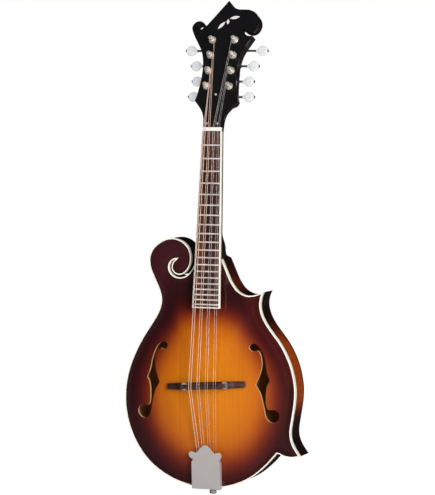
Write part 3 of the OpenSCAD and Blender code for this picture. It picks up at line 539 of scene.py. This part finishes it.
def burst_wood(name, stops, grain, contrast, figure=0.0, coat=1.0):
    """Lacquered sunburst; figure is the strength of the cross bands."""
    m = Material(name)
    blotch = m.remap(m.noise(14, rough=0.5), to=(-0.018, 0.018))
    colour = m.ramp(m.math("ADD", m.attribute("burst"), blotch), stops, "B_SPLINE")
    # growth rings run along the length, uneven in width and depth
    line = m.noise((grain, 8, 2.2), detail=2.0, rough=0.45, warp=0.15)
    fine = m.noise((grain * 3.4, 30, 7), rough=0.6)
    streak = m.noise((grain * 0.22, 6, 1.3), rough=0.5)
    rings = m.weighted((line, 0.55), (fine, 0.25), (streak, 0.20))
    colour = m.shade(colour, m.remap(rings, to=(1.0 - contrast, 1.0 + contrast * 0.65),
                                     within=(0.33, 0.66)))
    if figure:
        bands = m.node("TexWave", {
            "Scale": 36.0, "Distortion": 5.0, "Detail": 3.0, "Detail Scale": 1.4,
            "Vector": m.coords((6, 6, 1))}, bands_direction="Z").outputs["Fac"]
        colour = m.shade(colour, m.remap(bands, to=(1 - figure, 1 + figure)))
    m.bump(rings, strength=0.12, distance=0.00012)
    m.lacquer(coat=coat, rough=0.06)
    return m.finish(color=colour, rough=0.45, spec=0.12)


def raw_wood(name, light, dark, grain):
    m = Material(name)
    fibre = m.noise((grain, grain * 0.5, 9), detail=4.0, rough=0.6, warp=0.3)
    broad = m.noise((60, 60, 4))
    palest = tuple(min(255, x * 1.06) for x in light)
    colour = m.ramp(m.weighted((fibre, 0.65), (broad, 0.35)),
                    [(0.32, dark), (0.52, light), (0.72, palest)])
    m.bump(fibre, strength=0.3, distance=0.00015)
    return m.finish(color=colour, rough=m.remap(broad, to=(0.55, 0.8)), coat=0.0,
                    coat_rough=0.25)


def dark_gloss(name, dark, light, coat_rough=0.05, grain=(240, 240, 6)):
    m = Material(name)
    fine = m.noise(grain, detail=4.0, rough=0.6, warp=0.2)
    broad = m.noise((12, 12, 5))
    colour = m.ramp(m.weighted((fine, 0.5), (broad, 0.5)), [(0.36, dark), (0.64, light)])
    m.bump(fine, strength=0.10, distance=0.00008)
    m.lacquer(coat=1.0, rough=coat_rough)
    return m.finish(color=colour, rough=0.35, spec=0.4)


def rosewood(name, base, pale, black, grain, coat, coat_rough):
    m = Material(name)
    pores = m.noise(grain, detail=5.0, rough=0.7, warp=0.25)
    streak = m.noise((grain[0] * 0.22, grain[1] * 0.22, grain[2] * 0.8), detail=4.0,
                     rough=0.6, warp=0.8)
    colour = m.ramp(streak, [(0.28, black), (0.47, base), (0.70, pale)])
    pore_shade = m.ramp(pores, [(0.36, (0.35, 0.35, 0.35, 1)), (0.48, (1, 1, 1, 1))])
    colour = m.mix(1.0, colour, pore_shade, "MULTIPLY")
    m.bump(pores, strength=0.35, distance=0.00012)
    return m.finish(color=colour, rough=m.remap(pores, to=(0.42, 0.30)), spec=0.5, coat=coat,
                    coat_rough=coat_rough)


def ivory(name, dark, light, rough, grain):
    m = Material(name)
    fine = m.noise(grain, warp=0.3)
    broad = m.noise(30)
    colour = m.ramp(m.weighted((fine, 0.5), (broad, 0.5)), [(0.35, dark), (0.62, light)])
    m.bump(broad, strength=0.06, distance=0.0001)
    return m.finish(color=colour, rough=m.remap(broad, to=(rough * 0.7, rough * 1.4)),
                    coat=0.6, coat_rough=0.08)


def pearl(name, base, cool, warm, scale, rough, glint, glow=0.0):
    """Cloudy shell colours that shift with the view; glow is painted light, an emission that
    stands for light from behind.
    """
    m = Material(name)
    cloud = m.noise(scale, rough=0.5, warp=1.6)
    cells = m.node("TexVoronoi", {"Scale": 1.0, "Vector": m.coords(scale * 1.2)})
    facing = m.node("LayerWeight", {"Blend": 0.35}).outputs["Facing"]
    phase = m.math("ADD", cloud, m.math("MULTIPLY", facing, 0.5))
    colour = m.ramp(phase, [(0.30, cool), (0.46, base), (0.60, warm), (0.75, base)])
    colour = m.mix(m.remap(cells.outputs["Distance"], to=(0.0, 0.10)), colour, srgb(glint))
    if glow:
        m.feed(m.principled.inputs["Emission Color"], colour)
        m.feed(m.principled.inputs["Emission Strength"], glow)
    m.bump(cloud, strength=0.05, distance=0.0001)
    return m.finish(color=colour, rough=m.remap(cloud, to=(rough * 0.7, rough * 1.5)),
                    coat=0.8, coat_rough=0.06, spec=0.6)


def metal(name, light, rough, spread, brush=900, bump=0.04, tint=None, metallic=1.0):
    """Spread is how far the roughness strays; tint colours the darker patches."""
    m = Material(name)
    fine = m.noise(brush, detail=4.0, rough=0.6)
    broad = m.noise(55, detail=4.0, warp=0.4)
    dark = tuple(int(x * 0.86) for x in (tint or light))
    colour = m.ramp(broad, [(0.30, dark), (0.62, light)])
    wear = m.weighted((fine, 0.6), (broad, 0.4))
    m.bump(fine, strength=bump, distance=0.00005)
    return m.finish(color=colour, metal=metallic, rough=m.remap(
        wear, to=(rough * (1 - spread), rough * (1 + spread)), within=(0.3, 0.7)))


def winding(name, ridge, groove, turns_per_m):
    """Wound string, ridged along its run attribute."""
    m = Material(name)
    turns = m.math("SINE", m.math("MULTIPLY", m.attribute("run"), turns_per_m * 2 * math.pi))
    broad = m.noise((200, 200, 30))
    # the darker groove colour between the turns is painted shade
    colour = m.mix(m.remap(turns, to=(0.0, 1.0), within=(-1.0, 0.2)), srgb(groove), srgb(ridge))
    tarnish = m.remap(broad, to=(0.0, 0.18), within=(0.35, 0.7))
    colour = m.mix(tarnish, colour, srgb((196, 140, 104)))
    m.bump(turns, strength=0.5, distance=0.00012)
    return m.finish(color=colour, metal=0.3, rough=m.remap(broad, to=(0.26, 0.42)))


MAT = {
    "top": burst_wood("gloss_spruce_sunburst", [(burst_scale(s), c) for s, c in TOP_BURST_AND_SHEEN],
                      grain=620, contrast=0.13, coat=0.7),
    "back": burst_wood("gloss_maple_sunburst", [(burst_scale(s), c) for s, c in BACK_BURST],
                       grain=260, contrast=0.10, figure=0.10),
    "rib": burst_wood("gloss_maple_ribs", RIB_BURST, grain=200, contrast=0.10, figure=0.12,
                      coat=0.5),
    "spruce_raw": raw_wood("raw_spruce", (214, 172, 112), (178, 132, 78), grain=700),
    "maple_raw": raw_wood("raw_maple", (176, 108, 66), (140, 80, 46), grain=300),
    "block": raw_wood("raw_block", (172, 132, 86), (132, 94, 58), grain=200),
    "lining": raw_wood("raw_lining", (200, 164, 112), (160, 120, 78), grain=260),
    "neck": dark_gloss("gloss_dark_mahogany", (13, 6, 7), (36, 13, 12)),
    "head_face": dark_gloss("gloss_black_face", (8, 8, 10), (15, 14, 17), coat_rough=0.045,
                            grain=(60, 60, 40)),
    "cover_black": dark_gloss("gloss_black_plate", (8, 8, 9), (16, 15, 17), coat_rough=0.09,
                              grain=500),
    "rosewood": rosewood("rosewood_board", (62, 29, 22), (104, 60, 44), (26, 12, 11),
                         grain=(520, 260, 9), coat=0.12, coat_rough=0.3),
    "bridge": rosewood("rosewood_bridge", (54, 27, 21), (96, 60, 52), (22, 11, 10),
                       grain=(9, 420, 520), coat=0.8, coat_rough=0.16),
    "binding": ivory("aged_cream_binding", (243, 236, 214), (255, 252, 240), rough=0.22,
                     grain=(900, 900, 14)),
    "bone": ivory("bone_nut", (240, 237, 224), (255, 253, 247), rough=0.3, grain=420),
    "pearl": pearl("shell_pearl", (232, 232, 226), (205, 222, 220), (240, 222, 226),
                   scale=420, rough=0.18, glint=(255, 255, 255)),
    # the buttons' glow is painted light that brightens them
    "button": pearl("button_pearloid", (146, 147, 149), (128, 131, 136), (156, 156, 158),
                    scale=190, rough=0.14, glint=(160, 160, 161), glow=1.6),
    "nickel": metal("polished_nickel", (244, 238, 227), rough=0.16, spread=0.5,
                    tint=(236, 224, 206), metallic=0.62),
    "satin": metal("satin_nickel", (200, 194, 192), rough=0.46, spread=0.2,
                   brush=(1500, 1500, 40), bump=0.06, tint=(231, 225, 222), metallic=0.35),
    # the shafts are darker than the other nickel: painted shade, as they mirror the dark room
    "shaft": metal("shaft_steel_painted_shade", (128, 124, 121), rough=0.30, spread=0.3,
                   brush=(60, 1500, 1500), bump=0.08, metallic=0.85),
    "fret": metal("fret_nickel", (250, 240, 234), rough=0.26, spread=0.4,
                  brush=(60, 1400, 1400), metallic=0.35),
    "steel": metal("plain_steel", (236, 228, 224), rough=0.28, spread=0.4,
                   brush=(800, 800, 60), metallic=0.45),
    "brass": metal("plated_brass", (222, 210, 178), rough=0.20, spread=0.5,
                   tint=(208, 180, 120)),
    # spare: no piece wears it
    "gear": metal("gear_brass", (206, 170, 104), rough=0.28, spread=0.4, tint=(176, 134, 74)),
    "wound_heavy": winding("bronze_winding_heavy", (255, 226, 208), (206, 150, 118), 3400),
    "wound_light": winding("bronze_winding_light", (255, 230, 214), (212, 158, 126), 4800),
}

# ------------------------------------------------------------------ body
OUTLINE = np.vstack([resample(run, OUTLINE_STEP)[:-1] for run in (
    spline(SCROLL_SLOT + SLOT_END),
    spline(SLOT_END + SCROLL_CURL + BASS_SIDE + LOWER_POINT[:1]),
    spline(LOWER_POINT + TREBLE_SIDE[:1]),
    spline(TREBLE_SIDE + CUTAWAY[:1]),
    spline(CUTAWAY + NECK_EDGE[:1]),
    np.array(NECK_EDGE, float))])
INSIDE_BINDING = inset(OUTLINE, BINDING_W)
INSIDE_RIBS = inset(OUTLINE, RIB_T)


def recurve(depth, share, edge):
    """Shallow groove in the flat ledge between the edge and the arching."""
    return depth * np.exp(-((edge - 8.5) / 3.6) ** 2) * smooth((0.16 - share) / 0.3)


def top_front(plan):
    x, z = plan[:, 0], plan[:, 1]
    share = arch_share(plan)
    edge = edge_distance(plan, OUTLINE)
    groove = recurve(-0.75, share, edge)
    # the groove gives way to a gentle crown on the scroll, dimpled at its eye
    scroll = smooth((z - 296) / 22) * smooth((-24 - x) / 10)
    crown = 0.9 * scroll * (1 - np.exp(-(np.maximum(edge - 2.5, 0) / 6.0) ** 2))
    eye = np.hypot(x + 45, z - 331)
    dimple = -0.8 * np.exp(-(eye / 9) ** 2) * scroll * np.clip((edge - 1.6) / 3, 0, 1)
    near_neck = np.exp(-((x / 24) ** 4)) * smooth((z - 262) / 14)
    relief = (groove * (1 - scroll) + crown + dimple) * (1 - near_neck)
    return FRONT_Y - TOP_ARCH * rise(share) - relief * np.clip((edge - 1.7) / 1.5, 0, 1)


def top_burst_and_light(plan):
    x, z = plan[:, 0], plan[:, 1]
    # the dark edge reaches further in towards the neck, and further in on the bass side, where it
    # is painted shade on the side away from the lamps
    share = arch_share(plan) - 0.058 * smooth((-x - 20) / 80) - 0.12 * smooth((z - 205) / 70)
    # and stays a little lighter and redder up the treble side: painted light and sheen from the
    # lamps on that side
    share = np.maximum(share, -0.45 + 0.45 * smooth((x - 12) / 45) * smooth((z - 100) / 60))
    return burst_scale(np.clip(share, -BURST_OUTER, 1))


def build_top():
    treble_hole = resample(spline(F_HOLE_POINTS, 8, closed=True), 0.9, closed=True)[::-1]
    shift_x, shift_z = BASS_HOLE_SHIFT
    bass_hole = np.stack([-treble_hole[:, 0] - shift_x, treble_hole[:, 1] - shift_z], 1)[::-1]
    top = plate("top_plate", INSIDE_BINDING, [treble_hole, bass_hole], GRID, top_front,
                lambda plan: FRONT_Y + PLATE_T - TOP_ARCH * inner_rise(plan),
                [MAT["top"], MAT["spruce_raw"]], top_burst_and_light)
    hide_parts("top_plate")


def back_outline():
    """The body outline with the straight neck edge replaced by the rounded heel tab."""
    mirrored = [[-x, z] for x, z in HEEL_TAB[-2::-1]]
    tab = resample(spline(HEEL_TAB + mirrored, 6), 1.0)
    at_neck = (np.abs(OUTLINE[:, 1] - NECK_EDGE_Z) < 0.01) & (OUTLINE[:, 0] < 17.01)
    at_neck[:5] = False     # the outline also starts on this edge
    loop = np.vstack([OUTLINE[:int(np.argmax(at_neck))], tab])
    return loop[np.r_[True, np.linalg.norm(np.diff(loop, axis=0), axis=1) > 0.05]]


def back_rear(plan):
    share = arch_share(plan)
    edge = edge_distance(plan, OUTLINE)
    groove = recurve(0.7, share, edge) * (plan[:, 1] < 322)
    return BACK_Y + BACK_ARCH * rise(share) - groove * np.clip((edge - 0.5) / 2, 0, 1)


def back_burst(plan):
    share = arch_share(plan) - 0.1 * smooth((plan[:, 1] - 215) / 70)
    return burst_scale(np.clip(share, -BURST_OUTER, 1))


def build_back():
    back = plate("back_plate", back_outline(), [], GRID,
                 lambda plan: BACK_Y - PLATE_T + BACK_ARCH * inner_rise(plan), back_rear,
                 [MAT["maple_raw"], MAT["back"]], back_burst)
    # the heel tab is lacquered on both faces (limits in metres)
    for face in back.data.polygons:
        if face.center[2] > 0.3295 and abs(face.center[0]) < 0.02:
            face.material_index = 1
    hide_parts("back_plate")


def rib_burst(plan):
    """Paler at mid height of both sides, and in the cutaway."""
    x, z = plan[:, 0], plan[:, 1]
    middle = np.exp(-((z - 177) / 61) ** 4) * (np.abs(x) > 60)
    cutaway = 0.46 * np.exp(-((x - 34) / 13) ** 2) * (z > 276)
    return np.clip(middle * 1.02 + cutaway + 0.05, 0, 1)


def flat(y):
    return lambda plan: np.full(len(plan), y)


build_top()
build_back()
ribs = plate("ribs", OUTLINE, [INSIDE_RIBS], 0, flat(FRONT_Y + BINDING_DEPTH),
             flat(BACK_Y - PLATE_T), [MAT["rib"], MAT["rib"]], rib_burst, sharp=40)
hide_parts("ribs")
binding = plate("body_binding", OUTLINE, [INSIDE_BINDING], 0, flat(FRONT_Y - 0.03),
                flat(FRONT_Y + BINDING_DEPTH), [MAT["binding"]], sharp=40)
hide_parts("body_binding")


# ------------------------------------------------------------------ softened CAD pieces
def refine(node, material, bevel=0.0, sharp=32.0, segments=2, dissolve=True):
    """Weld a CAD piece, merge its flat faces and round its edges by bevel mm."""
    bm = bmesh.new()
    bm.from_mesh(NODES[node].data)
    bmesh.ops.remove_doubles(bm, verts=bm.verts, dist=2e-6)
    if dissolve:
        bmesh.ops.dissolve_limit(bm, angle_limit=math.radians(0.4), verts=bm.verts,
                                 edges=bm.edges)
    bmesh.ops.recalc_face_normals(bm, faces=bm.faces)
    mesh = bpy.data.meshes.new(node + "_v")
    bm.to_mesh(mesh)
    bm.free()
    mesh.materials.clear()
    mesh.materials.append(MAT[material])
    mesh.polygons.foreach_set("use_smooth", np.ones(len(mesh.polygons), bool))
    mesh.polygons.foreach_set("material_index", np.zeros(len(mesh.polygons), np.int32))
    mesh.set_sharp_from_angle(angle=math.radians(sharp))
    obj = bpy.data.objects.new(node + "_v", mesh)
    scene.collection.objects.link(obj)
    if bevel:
        soft = obj.modifiers.new("soft_edges", "BEVEL")
        soft.width = bevel * MM
        soft.segments = segments
        soft.limit_method = "ANGLE"
        soft.angle_limit = math.radians(40)
        soft.use_clamp_overlap = True
        soft.harden_normals = True
    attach(obj, BODY_OF[node])
    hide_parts(node)
    return obj


# piece, material, bevel in mm, other options of refine()
for piece, material, bevel, options in [
    ("head_block", "block", 0, {}),
    ("tail_block", "block", 0, {}),
    ("point_blocks", "block", 0, {}),
    ("linings", "lining", 0, {}),
    ("tone_bars", "spruce_raw", 0, {}),
    ("headstock_inlay", "pearl", 0, {}),
    ("truss_rod", "steel", 0, {}),
    ("truss_cover", "cover_black", 0.25, {}),
    ("truss_cover_screws", "steel", 0.05, {}),
    ("fingerboard", "rosewood", 0, {}),
    ("board_binding", "binding", 0.2, {}),
    ("frets", "fret", 0, {"sharp": 50}),
    ("nut", "bone", 0.2, {}),
    ("bridge_base", "bridge", 0.5, {"segments": 3}),
    ("bridge_posts", "brass", 0.3, {}),
    ("saddle", "bridge", 0.35, {"segments": 3}),
    ("thumbwheel_bass", "nickel", 0.12, {}),
    ("thumbwheel_treble", "nickel", 0.12, {}),
    ("tailpiece_base", "satin", 0.12, {}),
    ("tailpiece_screws", "nickel", 0.06, {}),
    ("tailpiece_cover", "satin", 0.3, {"segments": 3}),
    ("strap_button", "nickel", 0.1, {"sharp": 25}),
    ("tuner_plate_bass", "satin", 0.25, {}),
    ("tuner_plate_treble", "satin", 0.25, {}),
    ("tuner_plate_screws", "nickel", 0.05, {}),
    ("bushings", "nickel", 0.15, {}),
]:
    refine(piece, material, bevel, **options)


def winding_material(radius):
    return "wound_heavy" if radius > 0.4 else "wound_light"


def build_tuner(side, row):
    """Shaft, button and post; the turns of string on the post take the string's material."""
    tag = f"{side}{row + 1}"
    refine("shaft_" + tag, "shaft", sharp=50)
    refine("button_" + tag, "button", 0.2, sharp=40)
    mesh = refine("post_" + tag, "nickel", 0.12, sharp=40).data
    treble = side == "t"
    radius = STRING_R[7 - row if treble else row]
    mesh.materials.append(MAT["steel" if treble else winding_material(radius)])
    post_x = POST_X if treble else -POST_X
    low = winding_start(row) - radius - 0.1
    high = winding_start(row) + 5 * radius + 0.2
    for face in mesh.polygons:
        x, along, out = to_head(np.array(face.center) * 1000)
        off_axis = math.hypot(x - post_x, along - POST_FIRST - POST_PITCH * row)
        if off_axis > POST_R + 0.04 and low < out < high:
            face.material_index = 1


for side in "bt":
    for row in range(4):
        build_tuner(side, row)
refine("headstock_veneer", "head_face", 0.45, segments=3)
refine("neck", "neck", sharp=38, dissolve=False)


# ------------------------------------------------------------------ strings
def tube(path, radius, sides=12):
    """Capped tube; also gives each point's run along the path in metres."""
    count = len(path)
    rings = []
    for i in range(count):
        ahead = path[min(i + 1, count - 1)] - path[max(i - 1, 0)]
        ahead /= np.linalg.norm(ahead)
        across = np.cross(ahead, [0, -1, 0.001])
        across /= np.linalg.norm(across)
        third = np.cross(ahead, across)
        rings.append([path[i] + radius * (math.cos(a) * across + math.sin(a) * third)
                      for a in np.linspace(0, 2 * math.pi, sides, endpoint=False)])
    faces = [(i * sides + k, i * sides + (k + 1) % sides,
              (i + 1) * sides + (k + 1) % sides, (i + 1) * sides + k)
             for i in range(count - 1) for k in range(sides)]
    faces.append(tuple(range(sides))[::-1])
    faces.append(tuple((count - 1) * sides + k for k in range(sides)))
    along = np.r_[0, np.cumsum(np.linalg.norm(np.diff(path, axis=0), axis=1))]
    return np.vstack(rings), faces, np.repeat(along, sides) * MM


def string_x(i, spread, half_pair):
    return -spread / 2 + (i // 2) * spread / 3 + (-half_pair if i % 2 == 0 else half_pair)


def saddle_point(i):
    x = string_x(i, SADDLE_SPREAD, SADDLE_HALF_PAIR)
    return np.array([x, SADDLE_Y - STRING_R[i] + SADDLE_NOTCH,
                     SADDLE_Z + x * math.sin(SADDLE_SLANT) + PAIR_Z[i // 2]])


def fillet(points, reach, steps=6):
    """Round each inner corner of a polyline."""
    out = [points[0]]
    for a, b, c in zip(points[:-2], points[1:-1], points[2:]):
        u, v = a - b, c - b
        length_u, length_v = np.linalg.norm(u), np.linalg.norm(v)
        cut = min(reach, length_u * 0.4, length_v * 0.4)
        p, q = b + u / length_u * cut, b + v / length_v * cut
        for t in np.linspace(0, 1, steps + 1):
            out.append((1 - t) ** 2 * p + 2 * t * (1 - t) * b + t * t * q)
    out.append(points[-1])
    return out


def string_path(i):
    """From the tuner post over nut and saddle to a loop round the tailpiece hook."""
    radius = STRING_R[i]
    side = -1 if i < 4 else 1
    nut_x = string_x(i, NUT_SPREAD, NUT_HALF_PAIR)
    nut_front = neck_point(np.array([nut_x, -NUT_TOP - radius, NUT_ALONG + 0.4]))
    nut_rear = neck_point(np.array([nut_x, -NUT_TOP - radius - 0.02, NUT_ALONG + 5.1]))
    post = head_point(side * (POST_X - POST_R - 2.85 * radius - 0.06),
                      POST_FIRST + POST_PITCH * POST_ROW[i],
                      winding_start(POST_ROW[i]) + radius)
    before_hook = tail_point(HOOK_X[i] + 0.1, HOOK_ALONG + 5, HOOK_OUT + 0.1)
    loop = [tail_point(HOOK_X[i] + HOOK_LOOP_R * math.sin(math.radians(a)),
                       HOOK_ALONG + 0.3 + HOOK_LOOP_R * math.cos(math.radians(a)), HOOK_OUT)
            for a in np.arange(12, 290, 12)]
    corners = fillet([post, nut_rear, nut_front, saddle_point(i), before_hook], 2.0) + loop
    # short steps everywhere along the string
    path = [corners[0]]
    for a, b in zip(corners[:-1], corners[1:]):
        steps = max(1, int(np.linalg.norm(b - a) / 6.0))
        for k in range(1, steps + 1):
            path.append(a + (b - a) * k / steps)
    return np.array(path)


def build_strings(node, strings, materials):
    """Playing lengths and tail lengths as two meshes, split at the saddle."""
    halves = []
    for i in strings:
        path = string_path(i)
        cut = int(np.argmin(np.linalg.norm(path - saddle_point(i), axis=1)))
        halves.append((path[:cut + 1], path[cut:]))
    nut = neck_point(np.array([0, -NUT_TOP, NUT_ALONG])) * MM
    hook = tail_point(0, HOOK_ALONG + 5, HOOK_OUT) * MM
    for half, (suffix, far) in enumerate([("_play", nut), ("_tail", hook)]):
        verts, faces, runs, face_materials = [], [], [], []
        for i, paths in zip(strings, halves):
            points, quads, run = tube(paths[half], STRING_R[i])
            first = sum(len(v) for v in verts)
            verts.append(points)
            faces += [tuple(j + first for j in f) for f in quads]
            runs.append(run)
            light = len(materials) > 1 and STRING_R[i] <= 0.4
            face_materials += [int(light)] * len(quads)
        obj = new_object(node + suffix, node, np.vstack(verts), faces, materials, 60,
                         face_materials, {"run": np.concatenate(runs)}, rides=False)
        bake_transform(obj)
        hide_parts(node)


build_strings("strings_wound", [0, 1, 2, 3], [MAT["wound_heavy"], MAT["wound_light"]])
build_strings("strings_plain", [4, 5, 6, 7], [MAT["steel"]])

# ------------------------------------------------------------------ stage, metres
WHITE = (1, 1, 1, 1)
FLOOR_HALF = 6
FLOOR_GAP = 0.0002


def floor_material():
    m = Material("floor_paper")
    colour = m.ramp(m.noise(3), [(0.3, (0.90, 0.90, 0.90, 1)), (0.7, (0.94, 0.94, 0.94, 1))])
    m.finish(color=colour, rough=0.7, spec=0.1)
    m.bump(m.noise(300, detail=2.0), strength=0.02, distance=0.0002)
    paper = m.principled.outputs[0]
    paths = m.node("LightPath")
    # the camera sees almost pure white, with a tenth of the lit paper for the shadow
    white = m.node("Emission", {"Color": WHITE, "Strength": 1.08})
    seen = m.node("MixShader", {0: 0.10, 1: white.outputs[0], 2: paper})
    # polished parts see it dark to the left and paler to the right
    glow = m.node("Emission", {"Strength": m.falloff(
        m.place.outputs["Object"], x_to=(0.03, 0.42), x_within=(-0.7, 0.7),
        y_to=(1.0, 0.1), y_within=(-0.16, 0.02))})
    shader = m.by_ray(paths, "Is Glossy Ray", paper, glow.outputs[0])
    shader = m.by_ray(paths, "Is Camera Ray", shader, seen.outputs[0])
    m.feed(m.tree.nodes["Material Output"].inputs["Surface"], shader)
    return m.material


def build_floor():
    mesh = bpy.data.meshes.new("floor")
    z = CAD_BOX[0].z - FLOOR_GAP
    corners = [(-1, -1), (1, -1), (1, 1), (-1, 1)]
    mesh.from_pydata([(x * FLOOR_HALF, y * FLOOR_HALF, z) for x, y in corners], [],
                     [(0, 1, 2, 3)])
    mesh.materials.append(floor_material())
    floor = bpy.data.objects.new("floor", mesh)
    scene.collection.objects.link(floor)


def build_world():
    """White to the camera, dim as a light, and a graded room in reflections."""
    world = bpy.data.worlds.new("studio")
    scene.world = world
    w = Nodes(world)
    white = w.tree.nodes["Background"]
    w.feed(white.inputs["Color"], WHITE)
    w.feed(white.inputs["Strength"], 1.0)
    ambient = w.node("Background", {"Color": WHITE, "Strength": 0.30})
    room = w.node("Background", {"Color": WHITE, "Strength": 0.05})
    # dark on the left and behind, pale on the right; this drives the room's strength
    w.feed(room.inputs["Strength"], w.falloff(
        w.place.outputs["Generated"], x_to=(0.03, 0.5), x_within=(-0.25, 0.45),
        y_to=(1.0, 0.03), y_within=(-0.1, 0.5)))
    paths = w.node("LightPath")
    shader = w.by_ray(paths, "Is Glossy Ray", ambient.outputs[0], room.outputs[0])
    shader = w.by_ray(paths, "Is Camera Ray", shader, white.outputs[0])
    w.feed(w.tree.nodes["World Output"].inputs["Surface"], shader)


def area_light(name, location, width, height, power, in_reflections):
    light = bpy.data.lights.new(name, "AREA")
    light.energy = power
    light.shape = "RECTANGLE"
    light.size = width
    light.size_y = height
    obj = bpy.data.objects.new(name, light)
    obj.location = location
    obj.rotation_mode = "QUATERNION"
    aim = Vector((0, 0, 0.3)) - Vector(location)
    obj.rotation_quaternion = aim.to_track_quat("-Z", "Y")
    scene.collection.objects.link(obj)
    obj.visible_glossy = in_reflections


def build_camera():
    """Looks slightly down from the front, a little to the treble side, with a long lens."""
    turn, climb, roll = math.radians(19.548), math.radians(4.42), math.radians(0.478)
    target, distance = Vector((0, -0.0207, 0.275)), 3.1178
    back = Vector((math.sin(turn) * math.cos(climb), -math.cos(turn) * math.cos(climb),
                   math.sin(climb)))
    level = Vector((math.cos(turn), math.sin(turn), 0))
    upright = back.cross(level)
    right = math.cos(roll) * level + math.sin(roll) * upright
    up = -math.sin(roll) * level + math.cos(roll) * upright
    place = target + back * distance
    data = bpy.data.cameras.new("camera")
    camera = bpy.data.objects.new("camera", data)
    scene.collection.objects.link(camera)
    camera.matrix_world = Matrix([(right[i], up[i], back[i], place[i]) for i in range(3)]
                                 + [(0, 0, 0, 1)])
    data.sensor_width = 36
    data.lens = 162.3523491
    data.shift_x = 0.015587878788
    data.shift_y = 0.10334343434
    data.clip_start, data.clip_end = 0.05, 60
    scene.camera = camera


build_floor()
build_world()
KEY = {"location": (1.35, -1.5, 0.7), "width": 0.8, "height": 1.1}
area_light("key_right", **KEY, power=28.0, in_reflections=True)
area_light("key_right_soft", **KEY, power=16.0, in_reflections=False)
area_light("fill_back", location=(-0.9, 1.5, 0.8), width=1.2, height=1.2, power=16.0,
           in_reflections=False)
build_camera()
scene.view_settings.view_transform = "Standard"
scene.view_settings.look = "None"
